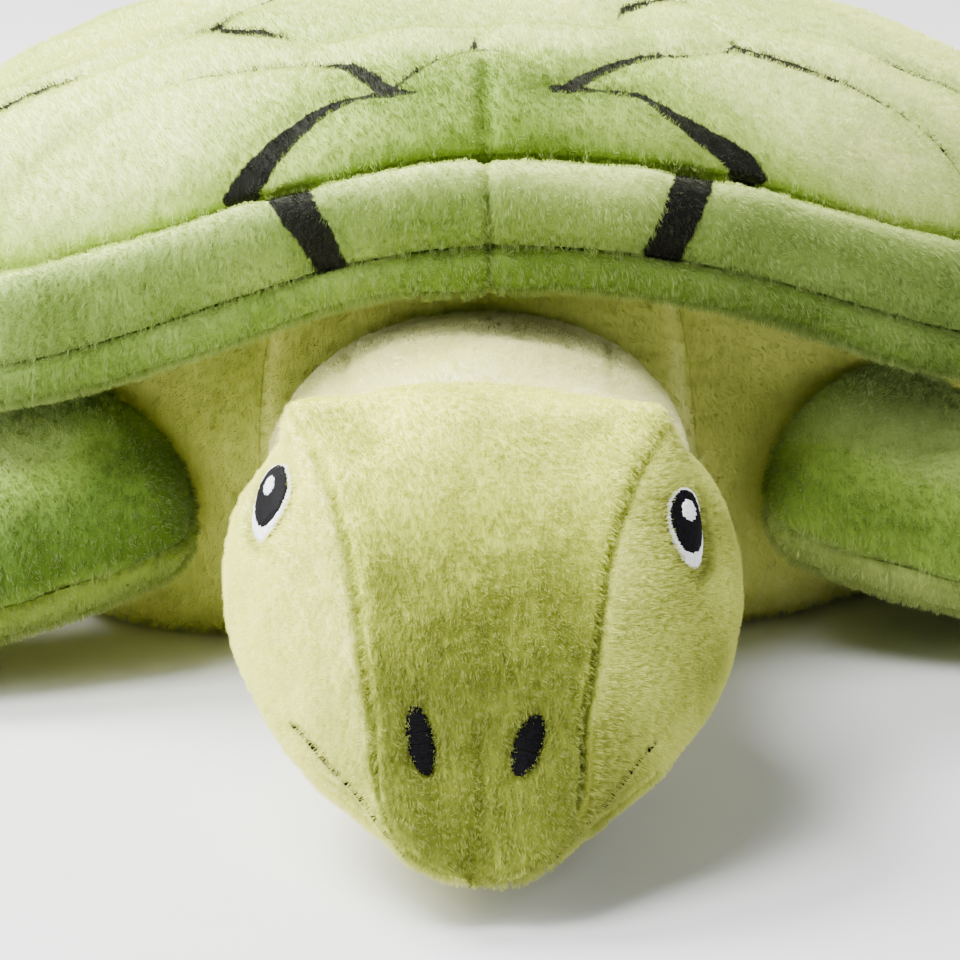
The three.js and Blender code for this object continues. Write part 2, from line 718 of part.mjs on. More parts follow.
function addHead() {
  const clear = (geometry) => cutFrom(geometry, [insideHead]);
  const minus = (angle) => (q) => -angle(q);
  add("head_stuffing", clear(headBody(skin + headCoreGap)), "stuffing");
  add("crown_panel", clear(headSheet(minus(crownSeamAngle), crownSeamAngle, crownColumns, 1)), "head");
  add("cheek_right", clear(headSheet(crownSeamAngle, jawSeamAngle, cheekColumns, 1)), "head");
  add("cheek_left", clear(headSheet(crownSeamAngle, jawSeamAngle, cheekColumns, -1)), "head");
  const farJaw = (q) => 360 - jawSeamAngle(q);
  add("jaw_panel", clear(headSheet(jawSeamAngle, farJaw, jawColumns, 1)), "head");
}

function addFace() {
  const second = patchGap + stitchHeight + gap;
  const third = second + stitchHeight + gap;
  for (const [name, side] of [["right", 1], ["left", -1]]) {
    add(`eye_white_${name}`, headPatch(eyeWhite, patchGap, side), "whiteThread");
    add(`eye_pupil_${name}`, headPatch(pupil, second, side), "thread");
    add(`eye_highlight_${name}`, headPatch(highlight, third, side), "whiteThread");
    add(`nostril_${name}`, headPatch(nostril, patchGap, side), "thread");
    add(`mouth_stitch_${name}`, mouthStitch(side), "thread");
  }
}

addTorso();
addLimb("front_flipper_right", frontFlipper, 1);
addLimb("front_flipper_left", frontFlipper, -1);
addLimb("rear_flipper_right", rearFlipper, 1);
addLimb("rear_flipper_left", rearFlipper, -1);
addLimb("tail", tail, 1);
addNeck();
addHead();
addFace();

export default turtle;
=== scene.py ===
"""A plush sea turtle: sewn pile-fabric panels round stuffed cores, with an embroidered face.

Every visible panel replaces its CAD panel. Forms are worked out in millimetres and written in
metres. Positions are (angle round the shell, share of a section) on the torso, (angle round the
face's axis, share of its length) on the head, and (angle round it, share of its length) on a limb.
"""

import json
import math

import bmesh
import bpy
import numpy as np
from mathutils import Matrix, Vector
from mathutils.bvhtree import BVHTree

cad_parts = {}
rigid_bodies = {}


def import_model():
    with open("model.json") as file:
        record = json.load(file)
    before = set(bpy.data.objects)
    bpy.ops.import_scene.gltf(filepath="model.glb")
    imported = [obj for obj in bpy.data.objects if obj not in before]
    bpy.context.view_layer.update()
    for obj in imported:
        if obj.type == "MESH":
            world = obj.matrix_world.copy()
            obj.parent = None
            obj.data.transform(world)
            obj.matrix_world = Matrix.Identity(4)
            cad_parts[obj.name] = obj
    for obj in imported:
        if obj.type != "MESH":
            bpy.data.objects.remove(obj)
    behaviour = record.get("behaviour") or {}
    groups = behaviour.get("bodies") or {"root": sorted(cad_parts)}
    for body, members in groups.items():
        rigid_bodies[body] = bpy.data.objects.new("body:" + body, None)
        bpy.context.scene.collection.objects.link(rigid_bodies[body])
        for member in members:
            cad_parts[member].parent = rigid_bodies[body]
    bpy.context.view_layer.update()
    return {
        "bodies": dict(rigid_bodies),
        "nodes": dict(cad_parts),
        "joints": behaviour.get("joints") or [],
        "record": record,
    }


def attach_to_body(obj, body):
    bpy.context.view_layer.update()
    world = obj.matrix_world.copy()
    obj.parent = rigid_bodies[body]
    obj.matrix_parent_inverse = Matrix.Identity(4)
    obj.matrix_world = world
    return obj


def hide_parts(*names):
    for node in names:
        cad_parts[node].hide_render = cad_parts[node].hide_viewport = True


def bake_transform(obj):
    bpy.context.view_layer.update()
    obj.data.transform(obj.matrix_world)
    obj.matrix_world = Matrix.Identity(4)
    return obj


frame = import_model()

MM = 0.001
DEG = math.pi / 180
CLOTH = 1.8          # thickness of a fabric panel
FAR = 9.0            # a distance that no dark mark reaches
SIDES = (("right", 1), ("left", -1))


def mix(a, b, t):
    return a + (b - a) * t


def clamp(x, low=0.0, high=1.0):
    return np.clip(x, low, high)


def ease(x):
    x = clamp(x)
    return x * x * (3 - 2 * x)


def bump(x, width):
    return np.exp(-((x / width) ** 2))


def signed_power(x, power):
    return np.sign(x) * np.abs(x) ** power


def wrapped(angle):
    """An angle in radians, brought to within half a turn of 0."""
    return np.arctan2(np.sin(angle), np.cos(angle))


def wobble(points, wavelength, seed):
    """A smooth field between about -1 and 1 that changes over the wavelength."""
    rng = np.random.default_rng(seed)
    total = np.zeros(points.shape[:-1])
    waves = 9
    for _ in range(waves):
        way = rng.normal(size=3)
        way *= 2 * math.pi / (wavelength * rng.uniform(0.7, 1.5) * np.linalg.norm(way))
        total += np.sin(points @ way + rng.uniform(0, 2 * math.pi))
    return total / math.sqrt(waves)


# Camera: the photograph's place and frame

TARGET = np.array([0.0, -140.0, 58.0])
ELEVATION, ROLL, DISTANCE = 15.0, -1.5, 1000.0
FOCAL_PIXELS, FRAME_PIXELS, SENSOR = 5060.0, 960.0, 36.0


def add_camera():
    elevation, roll = ELEVATION * DEG, ROLL * DEG
    back = Vector((0, -math.cos(elevation), math.sin(elevation)))
    right = Vector((1, 0, 0))
    up = back.cross(right)
    turned_right = right * math.cos(roll) + up * math.sin(roll)
    turned_up = up * math.cos(roll) - right * math.sin(roll)
    data = bpy.data.cameras.new("camera")
    data.sensor_width = SENSOR
    data.lens = FOCAL_PIXELS / FRAME_PIXELS * SENSOR
    data.clip_start, data.clip_end = 0.05, 20
    camera = bpy.data.objects.new("camera", data)
    bpy.context.collection.objects.link(camera)
    place = (Vector(TARGET) + back * DISTANCE) * MM
    axes = Matrix((turned_right, turned_up, back)).transposed().to_4x4()
    camera.matrix_world = Matrix.Translation(place) @ axes
    bpy.context.scene.camera = camera


add_camera()


# Materials

def linear(*channels):
    """A colour from 0 to 255 in sRGB, as Blender's linear one."""
    return tuple(((c / 255 + 0.055) / 1.055) ** 2.4 for c in channels) + (1.0,)


class Nodes:
    """A short way to write a node tree."""

    def __init__(self, name):
        self.material = bpy.data.materials.new(name)
        self.material.use_nodes = True
        self.tree = self.material.node_tree
        self.shader = self.tree.nodes["Principled BSDF"]

    def add(self, kind, **settings):
        node = self.tree.nodes.new(kind)
        for key, value in settings.items():
            setattr(node, key, value)
        return node

    def put(self, socket, value):
        if isinstance(value, bpy.types.NodeSocket):
            self.tree.links.new(value, socket)
        else:
            socket.default_value = value

    def math(self, operation, a, b=0.0, c=0.0):
        node = self.add("ShaderNodeMath", operation=operation)
        for socket, value in zip(node.inputs, (a, b, c)):
            self.put(socket, value)
        return node.outputs[0]

    def step(self, value, low, high, to_low=0.0, to_high=1.0):
        node = self.add("ShaderNodeMapRange", interpolation_type="SMOOTHSTEP")
        for socket, given in zip(node.inputs, (value, low, high, to_low, to_high)):
            self.put(socket, given)
        return node.outputs[0]

    def noise(self, scale, stretch=(1, 1, 1), detail=2.0, rough=0.5):
        place = self.add("ShaderNodeTexCoord").outputs["Object"]
        mapping = self.add("ShaderNodeMapping")
        self.put(mapping.inputs["Vector"], place)
        mapping.inputs["Scale"].default_value = stretch
        node = self.add("ShaderNodeTexNoise")
        self.put(node.inputs["Vector"], mapping.outputs[0])
        node.inputs["Scale"].default_value = scale
        node.inputs["Detail"].default_value = detail
        node.inputs["Roughness"].default_value = rough
        return node.outputs["Fac"]

    def blend(self, share, a, b):
        node = self.add("ShaderNodeMix", data_type="RGBA")
        self.put(node.inputs["Factor"], share)
        self.put(node.inputs[6], a)
        self.put(node.inputs[7], b)
        return node.outputs[2]

    def scaled(self, value, centre, amount):
        """How far the value is from a centre, times an amount."""
        return self.math("MULTIPLY", self.math("SUBTRACT", value, centre), amount)

    def surface(self, values):
        """Set the shader's own sockets, each to one value for the whole surface."""
        for key, value in values.items():
            self.shader.inputs[key].default_value = value

    def relief(self, height, strength, distance):
        node = self.add("ShaderNodeBump")
        node.inputs["Strength"].default_value = strength
        node.inputs["Distance"].default_value = distance
        self.put(node.inputs["Height"], height)
        self.put(self.shader.inputs["Normal"], node.outputs[0])

    def ramp(self, value, stops):
        node = self.add("ShaderNodeValToRGB")
        self.put(node.inputs[0], value)
        elements = node.color_ramp.elements
        while len(elements) < len(stops):
            elements.new(0.5)
        for element, (place, colour) in zip(elements, stops):
            element.position, element.color = place, colour
        return node.outputs[0]


# The second colour is a painted highlight: the hair tips are blended a little towards it
BLACK_PILE, TIP_HIGHLIGHT = linear(15, 17, 12), linear(250, 252, 176)
ROOT_SHADE = 0.34    # painted shade: how much darker the pile's colour is at its root than at its tip
MARK_SPAN = 20.0     # the marks' distance field holds 20 mm as 1


def pile(name, colours, grain):
    """Short pile, in colours from pale to deep.

    UV map 'marks' carries the distance to the dark marks, and how deep the colour is.
    """
    n = Nodes(name)
    split = n.add("ShaderNodeSeparateXYZ")
    n.put(split.inputs[0], n.add("ShaderNodeUVMap", uv_map="marks").outputs[0])
    cloudy = n.noise(28.0, detail=3.0)
    tufts = n.noise(420.0, grain, rough=0.6)
    hairs = n.noise(1500.0, grain, rough=0.65)
    hair = n.add("ShaderNodeHairInfo")
    tip, chance = hair.outputs["Intercept"], hair.outputs["Random"]
    tone = split.outputs[1]
    # Each hair is darker at its root and paler at its tip: painted shade and painted highlight
    for field, centre, amount in ((cloudy, 0.5, 0.16), (tufts, 0.5, 0.3), (hairs, 0.5, 0.2),
                                  (tip, 0.4, -ROOT_SHADE), (chance, 0.0, 0.1)):
        tone = n.math("ADD", tone, n.scaled(field, centre, amount))
    colour = n.ramp(tone, list(zip((0.0, 0.5, 1.0), [linear(*c) for c in colours])))
    # Painted highlight: the tips are blended towards a pale colour
    colour = n.blend(n.math("MULTIPLY", tip, 0.12), colour, TIP_HIGHLIGHT)
    ragged = n.scaled(split.outputs[0], 0.5, MARK_SPAN)
    ragged = n.math("ADD", ragged, n.scaled(tufts, 0.5, 2.2))
    ragged = n.math("ADD", ragged, n.scaled(hairs, 0.5, 1.2))
    colour = n.blend(n.step(ragged, -0.35, 0.35, 1.0, 0.0), colour, BLACK_PILE)
    n.put(n.shader.inputs["Base Color"], colour)
    n.surface({"Roughness": 0.9, "Specular IOR Level": 0.2, "Sheen Weight": 0.2,
               "Sheen Roughness": 0.4, "Sheen Tint": linear(240, 246, 190)})
    n.relief(n.math("ADD", tufts, n.math("MULTIPLY", hairs, 0.6)), 0.55, 0.0009)
    return n.material


def thread(name, colour, shade):
    """Satin thread: a soft gloss, with the twist of the yarn showing."""
    n = Nodes(name)
    twist = n.noise(2600.0, (1.0, 0.5, 0.5))
    n.put(n.shader.inputs["Base Color"], n.blend(n.step(twist, 0.35, 0.7), colour, shade))
    n.surface({"Roughness": 0.6, "Specular IOR Level": 0.06})
    n.relief(twist, 0.4, 0.0001)
    return n.material


# Each fabric where its pile is palest, in the middle and deepest
FABRICS = {
    "shell_pile": ((242, 250, 168), (172, 196, 92), (106, 134, 36)),
    "rim_pile": ((216, 232, 134), (142, 166, 82), (94, 120, 38)),
    "head_pile": ((252, 254, 132), (201, 209, 80), (126, 136, 42)),
    # The cheek and neck piles are paler copies of the head's pile: painted light
    "cheek_pile": ((254, 254, 152), (205, 212, 98), (140, 148, 48)),
    "neck_pile": ((255, 254, 202), (224, 228, 128), (156, 160, 62)),
    "body_pile": ((243, 243, 162), (210, 214, 106), (152, 160, 60)),
    "flipper_pile": ((174, 194, 112), (118, 144, 50), (64, 90, 16)),
    "flipper_under_pile": ((188, 203, 130), (153, 170, 84), (106, 125, 40)),
}
# How fine the tufts are along x, y and z
GRAIN, RIM_GRAIN = (1.0, 0.3, 0.35), (0.4, 1.0, 0.35)
MATERIALS = {name: pile(name, colours, RIM_GRAIN if name == "rim_pile" else GRAIN)
             for name, colours in FABRICS.items()}
MATERIALS["black_thread"] = thread("black_thread", linear(7, 7, 9), linear(18, 18, 22))
MATERIALS["white_thread"] = thread("white_thread", linear(252, 252, 253), linear(226, 226, 234))


# Meshes

SLOTS = {}           # the fabric or thread of each object, by its name
# Panels of the head's fabric that get a paler copy of its pile: painted light on the cheeks and
# neck, which carries on to the jaw
PAINTED_LIGHT_PILES = {"cheek": "cheek_pile", "jaw": "cheek_pile", "neck": "neck_pile"}


def grid_normals(points):
    """Outward unit normals of a sheet. Its columns run round a form and its rows along it."""
    across = np.cross(np.gradient(points, axis=1), np.gradient(points, axis=0))
    length = np.linalg.norm(across, axis=-1, keepdims=True)
    return across / np.maximum(length, 1e-9)


def make_object(name, vertices, faces, uvs, slot, turn=True):
    """A mesh object in metres. uvs holds one (u, v) for each vertex, by map name."""
    mesh = bpy.data.meshes.new(name)
    mesh.from_pydata((np.asarray(vertices) * MM).tolist(), [], faces)
    for key, values in uvs.items():
        layer = mesh.uv_layers.new(name=key)
        index = np.empty(len(mesh.loops), np.int32)
        mesh.loops.foreach_get("vertex_index", index)
        layer.data.foreach_set("uv", np.asarray(values, np.float32)[index].ravel())
    mesh.polygons.foreach_set("use_smooth", [True] * len(mesh.polygons))
    shape = bmesh.new()
    shape.from_mesh(mesh)
    bmesh.ops.remove_doubles(shape, verts=shape.verts, dist=1e-6)
    if turn:
        bmesh.ops.recalc_face_normals(shape, faces=shape.faces)
    shape.to_mesh(mesh)
    shape.free()
    mesh.materials.append(MATERIALS[PAINTED_LIGHT_PILES.get(name.split("_")[0], slot)])
    piece = bpy.data.objects.new(name, mesh)
    bpy.context.collection.objects.link(piece)
    SLOTS[piece.name] = slot
    return piece


def grid_faces(columns, rows, start, flip):
    i, j = np.meshgrid(np.arange(columns), np.arange(rows), indexing="ij")
    a = (start + i * (rows + 1) + j).ravel()
    b = a + rows + 1
    faces = np.stack([a, b, b + 1, a + 1], 1)
    return (faces[:, ::-1] if flip else faces).tolist()


def cloth(node, points, tone, slot, distance=FAR, ring=False, side=1):
    """A closed fabric panel: the given outer sheet, one a little inside it, and their edges."""
    columns, rows = points.shape[0] - 1, points.shape[1] - 1
    inner = points - grid_normals(points) * CLOTH
    half = (columns + 1) * (rows + 1)
    faces = grid_faces(columns, rows, 0, True) + grid_faces(columns, rows, half, False)

    def edge(a, b):
        faces.append([b + half, a + half, a, b])

    for i in range(columns):
        edge(i * (rows + 1), (i + 1) * (rows + 1))
        edge((i + 1) * (rows + 1) + rows, i * (rows + 1) + rows)
    if not ring:
        for j in range(rows):
            edge(j + 1, j)
            edge(columns * (rows + 1) + j, columns * (rows + 1) + j + 1)
    vertices = np.concatenate([points.reshape(-1, 3), inner.reshape(-1, 3)])
    if side < 0:
        vertices = vertices * np.array([-1, 1, 1])
        faces = [face[::-1] for face in faces]
    u = np.broadcast_to(clamp(distance / MARK_SPAN + 0.5), points.shape[:2]).reshape(-1)
    v = clamp(tone).reshape(-1)
    marks = np.stack([np.tile(u, 2), np.tile(v, 2)], 1)
    piece = make_object(f"{node}_cloth", vertices, faces, {"marks": marks}, slot, turn=False)
    outer = piece.vertex_groups.new(name="outer")
    place = np.empty(len(piece.data.vertices) * 3)
    piece.data.vertices.foreach_get("co", place)
    is_outer = near_any(place.reshape(-1, 3) / MM, vertices[:half])
    outer.add(np.nonzero(is_outer)[0].tolist(), 1.0, "REPLACE")
    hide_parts(node)
    return piece


def near_any(place, sheet):
    """Which vertices lie on the sheet: a lookup by rounded place."""
    keys = {tuple(k) for k in np.round(sheet * 50).astype(int).tolist()}
    rounded = np.round(place * 50).astype(int).tolist()
    return np.array([tuple(k) in keys for k in rounded])


def displaced(points, height):
    return points + grid_normals(points) * height[..., None]


def crowded(count, share=0.6):
    """Grid values from 0 to 1, closer together at both ends, where the seams are."""
    t = np.linspace(0, 1, count + 1)
    return mix(t, 0.5 - 0.5 * np.cos(math.pi * t), share)


# Torso

# Ovals round the rim and the body: half width, front, back and how square
SHELL_OVAL, BODY_OVAL = (146.0, 112.0, 178.0, 2.2), (112.0, 86.0, 156.0, 2.3)
SHELL_Y, SHELL_TOP, DOME_ROUND = 20.0, 129.0, 2.1
RIM_SIDE, RIM_RISE, RIM_SPAN, RIM_DROP = 61.0, 33.0, 66.0, 8.0
UPPER_HEIGHT, UPPER_DEPTH, LOWER_HEIGHT, LOWER_DEPTH, UNDER_RISE = 16.0, 14.0, 9.0, 5.0, 6.0
RIM_UNEVEN, UPPER_FULL = 4.6, 4.5    # how much higher and fuller the rim is beside its arch
RIM_JOIN = 1.6       # angle of the rim's front seam
TUCK = 7.0           # how far fabric carries on down inside the crease
TUCK_SHARE = 0.05    # how much longer than the dome's own section that makes it
BODY_SHOULDER, BODY_BULGE, BULGE_LEVEL, BELLY_SHARE = 0.92, 1.06, 0.6, 0.8
BODY_FRONT_SEAM, BODY_BACK_SEAM = 30.0, 150.0


def oval(theta, half, front, back, square):
    ahead = np.where(np.cos(theta) > 0, front, back)
    total = np.abs(np.sin(theta) / half) ** square + np.abs(np.cos(theta) / ahead) ** square
    return total ** (-1 / square)


def rim_height(theta):
    turned = np.abs(wrapped(theta)) / DEG
    arch = np.cos(clamp(turned / RIM_SPAN) * 90 * DEG) ** 2
    uneven = RIM_UNEVEN * bump(theta / DEG - 33, 20)
    return RIM_SIDE + RIM_RISE * arch - RIM_DROP * ease((turned - 90) / 90) + uneven


def upper_band(theta):
    """Height of the rim's upper band, which is fuller beside the neck's arch."""
    return UPPER_HEIGHT + UPPER_FULL * bump(np.abs(wrapped(theta)) / DEG - 46, 24)


def bezier(points, t):
    left = points
    while len(left) > 1:
        left = [(mix(a[0], b[0], t), mix(a[1], b[1], t)) for a, b in zip(left, left[1:])]
    return left[0]


def torso(theta, section, s):
    """(radius, height) on one section of the torso's outline, at angles theta and shares s."""
    rim = oval(theta, *SHELL_OVAL)
    body = oval(theta, *BODY_OVAL)
    height = rim_height(theta)
    band = upper_band(theta)
    crease = (rim - UPPER_DEPTH, height + band)
    seam = (rim, height)
    edge = (rim - LOWER_DEPTH, height - LOWER_HEIGHT)
    shoulder = (body * BODY_SHOULDER, edge[1] + UNDER_RISE)
    if section == "dome":
        out = np.sin(np.minimum(s, 1) * 90 * DEG)
        rise = np.sqrt(np.maximum(1 - out ** DOME_ROUND, 0))
        inside = np.maximum(s - 1, 0) / TUCK_SHARE
        return crease[0] * out - inside * 2, mix(crease[1], SHELL_TOP, rise) - inside * TUCK
    if section == "upper":
        return bezier([crease, (rim + 3.5, height + band + 3.0), seam], s)
    if section == "lower":
        return bezier([seam, (rim + 2.0, edge[1]), edge], s)
    if section == "under":
        return bezier([edge, shoulder], s)
    if section == "belly":
        return body * BELLY_SHARE * (1 - s), np.zeros_like(body + s)
    high, low = (body * BODY_BULGE, shoulder[1] * BULGE_LEVEL), (body * BODY_BULGE, 0 * body)
    return bezier([shoulder, high, low, (body * BELLY_SHARE, 0 * body)], s)


def torso_grid(angles, section, shares):
    theta, s = np.meshgrid(angles * DEG, shares, indexing="ij")
    radius, height = torso(theta, section, s)
    x, y = radius * np.sin(theta), SHELL_Y - radius * np.cos(theta)
    return np.stack([x, y, height + 0 * radius], -1), theta / DEG, s


# The scute pattern: lines of (x, y, half width) on the dome, seen from above. Where the half width
# is below 0 the black fades out, and the crease goes on.
SCUTES = [
    [(-52, -79, 3.6), (-49, -74, 3.8), (-41, -68, 3.0), (-30, -60, 1.8), (-24, -58.5, 0.9),
     (-17, -59, 1.7)],
    [(-12, -60, 0.8), (-17, -59, 2.0), (-21, -50, 2.1), (-26, -40, 1.9), (-34, -34, 0.5)],
    [(-34, -34, 0.5), (-48, -29.5, 0.9), (-58, -27, 0.6), (-68, -27.5, -0.2), (-97, -40, -1.3),
     (-112, -50, -1.3)],
    [(-17, -59, 0.6), (-12, -52, 0.5), (-7, -44.5, 0.5), (-2, -39.5, 0.6), (1, -38, 0.8),
     (6, -39, 0.4), (10, -43, 0.0), (16, -52, -1.0), (22, -59, -0.5)],
    [(1, -38, 0.7), (1.5, -29, 0.3)],
    [(58, -25, 0.9), (56, -17, 0.3), (52, -8, -1.0)],
    [(62, -76, 4.2), (57, -70, 3.9), (50, -68, 3.2), (43, -64, 2.2), (36, -57.5, 1.2),
     (27, -58, 0.8), (18, -60, 1.6)],
    [(20, -60, 1.6), (25, -52, 1.7), (31, -43, 1.8), (41, -34, 0.8), (50, -31, 0.4),
     (58, -26, 0.5)],
    [(58, -25, 2.0), (68, -27, 1.8), (82, -29, 0.8), (94, -32, 0.5), (106, -37, 0.6),
     (118, -44, 2.0)],
    [(-34, -34, 0.5), (-35, -22, -0.8), (-40, -11, 0.8), (-49, 0, 2.4), (-57, 9, 1.9)],
    [(41, -34, 0.5), (36, -20, -0.8), (33, -2, 0.4), (36, 9, 2.0), (44, 22, 1.7)],
    [(-35, -20, -0.8), (-18, -17, -0.8), (0, -18, -0.4), (18, -17, -0.8), (36, -20, -0.8)],
    [(-57, 9, 1.9), (-64, 4, -0.3), (-78, -4, -0.6), (-88, -4.5, 1.2), (-98, -2.5, 2.2),
     (-110, 0, 2.2), (-131, 4, 1.4)],
    [(44, 22, 1.7), (56, 11, -0.3), (80, -1, -0.6), (94, 0, 1.2), (108, 2, 1.5), (131, 8, 2.0)],
    [(-57, 9, 1.6), (-51, 26, 0.5), (-36, 45, 1.7), (-34, 50, 1.4)],
    [(44, 22, 1.4), (45, 32, 0.5), (37, 45, 1.7), (35, 50, 1.4)],
    [(-35, 48, 0.6), (-16, 50, 0.4), (0, 48, 1.4), (18, 50, 0.5), (36, 48, 0.6)],
    [(-35, 48, 1.4), (-44, 62, 0.6), (-50, 74, 1.8), (-44, 88, 0.6), (-31, 102, 1.7)],
    [(36, 48, 1.4), (44, 62, 0.6), (50, 74, 1.8), (44, 88, 0.6), (31, 102, 1.7)],
    [(-31, 102, 0.8), (-14, 104, 0.4), (0, 102, 1.3), (15, 104, 0.4), (31, 102, 0.8)],
    [(-24, 148, 0.7), (-10, 150, 0.4), (0, 149, 1.0), (11, 150, 0.4), (24, 148, 0.7)],
]
# Lines that are the same on both sides
for line in (
    [(50, 74, 1.8), (68, 76, 0.5), (88, 84, 0.6), (104, 92, 1.8), (122, 99, 2.4)],
    [(31, 102, 1.6), (38, 118, 0.5), (37, 128, 1.8), (24, 148, 1.5)],
    [(37, 126, 1.6), (54, 136, 0.5), (70, 148, 1.6), (88, 158, 2.4)],
    [(24, 148, 1.5), (30, 164, 0.6), (38, 184, 2.4)],
):
    SCUTES += [[(sign * x, y, half) for x, y, half in line] for name, sign in SIDES]
# Marks on the rim's upper band: angle at the crease, angle at the seam, half widths there
RIM_MARKS = [
    (-22.0, -14.9, 4.9, 3.5), (26.0, 19.6, 4.3, 3.9), (-68, -61, 3.4, 2.8), (70, 63, 3.4, 2.8),
    (-97, -92, 3.2, 2.8), (98, 93, 3.2, 2.8), (-128, -126, 3.4, 2.8), (129, 127, 3.4, 2.8),
    (-150, -152, 3.2, 2.8), (151, 153, 3.2, 2.8), (-171, -174, 3.2, 2.6), (171, 174, 3.2, 2.6),
]
DART_X = 3.0         # place of the front dart, a little to the right


def nearest_line(points, lines):
    """Distance from each point to the nearest line, less that line's half width there."""
    flat = points.reshape(-1, 3)
    best = np.full(len(flat), 1e3)
    for line in lines:
        for a, b in zip(line, line[1:]):
            start, run = np.array(a[:3]), np.array(b[:3]) - np.array(a[:3])
            t = clamp(((flat - start) @ run) / (run @ run))
            away = np.linalg.norm(flat - start - t[:, None] * run, axis=1) - mix(a[3], b[3], t)
            best = np.minimum(best, away)
    return best.reshape(points.shape[:-1])


def dome_height(x, y):
    theta = np.arctan2(x, SHELL_Y - y)
    radius = np.hypot(x, SHELL_Y - y)
    rim = oval(theta, *SHELL_OVAL)
    out = clamp(radius / (rim - UPPER_DEPTH), 0, 0.999)
    low = rim_height(theta) + upper_band(theta)
    return mix(low, SHELL_TOP, np.sqrt(1 - out ** DOME_ROUND))


def on_dome(line):
    """A line's points carried up onto the dome, with steps short enough to follow it."""
    steps = 8
    points = np.array(line, float)
    t = np.linspace(0, len(points) - 1, (len(points) - 1) * steps + 1)
    x, y, half = (np.interp(t, np.arange(len(points)), points[:, k]) for k in range(3))
    return list(zip(x, y, dome_height(x, y), half))


def torso_cloth(node, section, angles, shares, height, tone, slot, distance=None, ring=False):
    points, theta, s = torso_grid(angles, section, shares)
    marks = distance(points, theta, s) if distance else FAR
    shape = displaced(points, height(points, theta, s))
    piece = cloth(node, shape, tone(points, theta, s), slot, marks, ring)
    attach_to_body(piece, "torso")
    return piece


def add_shell():
    lines = [on_dome(line) for line in SCUTES]

    def distance(points, theta, s):
        return nearest_line(points, lines)

    def height(points, theta, s):
        quilted = -1.5 * bump(np.maximum(nearest_line(points, lines), 0), 5.0) + 1.0
        crease = -3.0 * bump(np.maximum(1 - s, 0) * 190, 5.5)
        dart = -1.8 * bump(points[..., 0] - DART_X, 1.8) * ease((-40 - points[..., 1]) / 8)
        soft = 1.1 * wobble(points, 70, 3) + 0.35 * wobble(points, 22, 4)
        return (quilted + soft * ease((1 - s) * 8)) * ease(s * 12 + 0.4) + crease + dart

    def tone(points, theta, s):
        near = bump(np.maximum(nearest_line(points, lines), 0), 9.0)
        front = bump(points[..., 0] - DART_X, 48) * ease((-30 - points[..., 1]) / 30)
        low = ease((s - 0.75) / 0.25)
        # Painted shade: the tone is darker down the front dart's crease
        dart = bump(points[..., 0] - DART_X, 1.6) * ease((-40 - points[..., 1]) / 8)
        total = 0.05 + 0.14 * near + 0.68 * front + 0.22 * low + 0.3 * dart
        return total + 0.08 * wobble(points, 60, 8)

    angles = np.linspace(-180, 180, 481)
    shares = np.concatenate([np.linspace(0, 1, 121) ** 0.9,
                             1 + TUCK_SHARE * np.linspace(0, 1, 5)[1:]])
    shell = torso_cloth("shell_top_panel", "dome", angles, shares, height, tone, "shell_pile",
                        distance, ring=True)
    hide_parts("shell_stuffing")


def rim_marks(points, theta, s):
    """Distance to the dark marks that cross the rim's upper band."""
    best = np.full(theta.shape, 1e3)
    radius = np.hypot(points[..., 0], points[..., 1] - SHELL_Y)
    for at_crease, at_seam, wide_crease, wide_seam in RIM_MARKS:
        middle = mix(at_crease, at_seam, s)
        away = np.abs(theta - middle) * DEG * radius - mix(wide_crease, wide_seam, s)
        best = np.minimum(best, away)
    return best


def add_rim():
    def upper_height(points, theta, s):
        crease = -2.4 * bump(np.maximum(s, 0) * 21, 2.6)
        seam = -1.3 * bump((1 - s) * 21, 1.5)
        marks = -0.7 * bump(np.maximum(rim_marks(points, theta, s), 0), 3.0)
        dart = -1.4 * bump(points[..., 0] - DART_X, 1.3) * (points[..., 1] < 0)
        back = -1.2 * bump(points[..., 0], 1.3) * (points[..., 1] > 0)
        waves = 0.9 * wobble(points, 45, 11) * ease(s * 4) * ease((1 - s) * 4)
        return crease + seam + marks + dart + back + waves

    def lower_height(points, theta, s):
        seam = -1.3 * bump(s * 14, 1.5)
        foot = -1.0 * bump((1 - s) * 14, 1.8)
        dart = -1.0 * bump(points[..., 0] - DART_X, 1.3) * (points[..., 1] < 0)
        return seam + foot + dart + 0.7 * wobble(points, 38, 12) * ease(s * 4) * ease((1 - s) * 4)

    def upper_tone(points, theta, s):
        # Painted highlight: the band is paler round 15 degrees on the right and stays pale further
        # down there
        lit = bump(theta - 15, 13)
        deep = 0.7 * ease((s - (0.14 + 0.2 * lit)) / 0.6)
        return deep - 0.1 * lit + 0.08 * wobble(points, 30, 13)

    def lower_tone(points, theta, s):
        return 0.76 + 0.16 * s + 0.07 * wobble(points, 30, 14)

    for side, start, end in (("right", RIM_JOIN, 180.0), ("left", -180.0, RIM_JOIN)):
        angles = mix(start, end, crowded(300, 0.15))
        shares = np.concatenate([[-0.22, -0.15, -0.07], crowded(22)])
        torso_cloth(f"rim_top_{side}", "upper", angles, shares, upper_height, upper_tone,
                    "rim_pile", rim_marks)
        under = rim_under(angles, lower_height)
        piece = cloth(f"rim_under_{side}", under[0], lower_tone(*under), "rim_pile")
        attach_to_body(piece, "torso")


def rim_under(angles, lower_height):
    """The rim's lower band and its underside, which are one piece of fabric."""
    band, theta, s = torso_grid(angles, "lower", crowded(14))
    band = displaced(band, lower_height(band, theta, s))
    below, theta_below, s_below = torso_grid(angles, "under", np.linspace(0.06, 1, 12))
    points = np.concatenate([band, below], 1)
    return points, np.concatenate([theta, theta_below], 1), np.concatenate([s, 1 + 0 * s_below], 1)


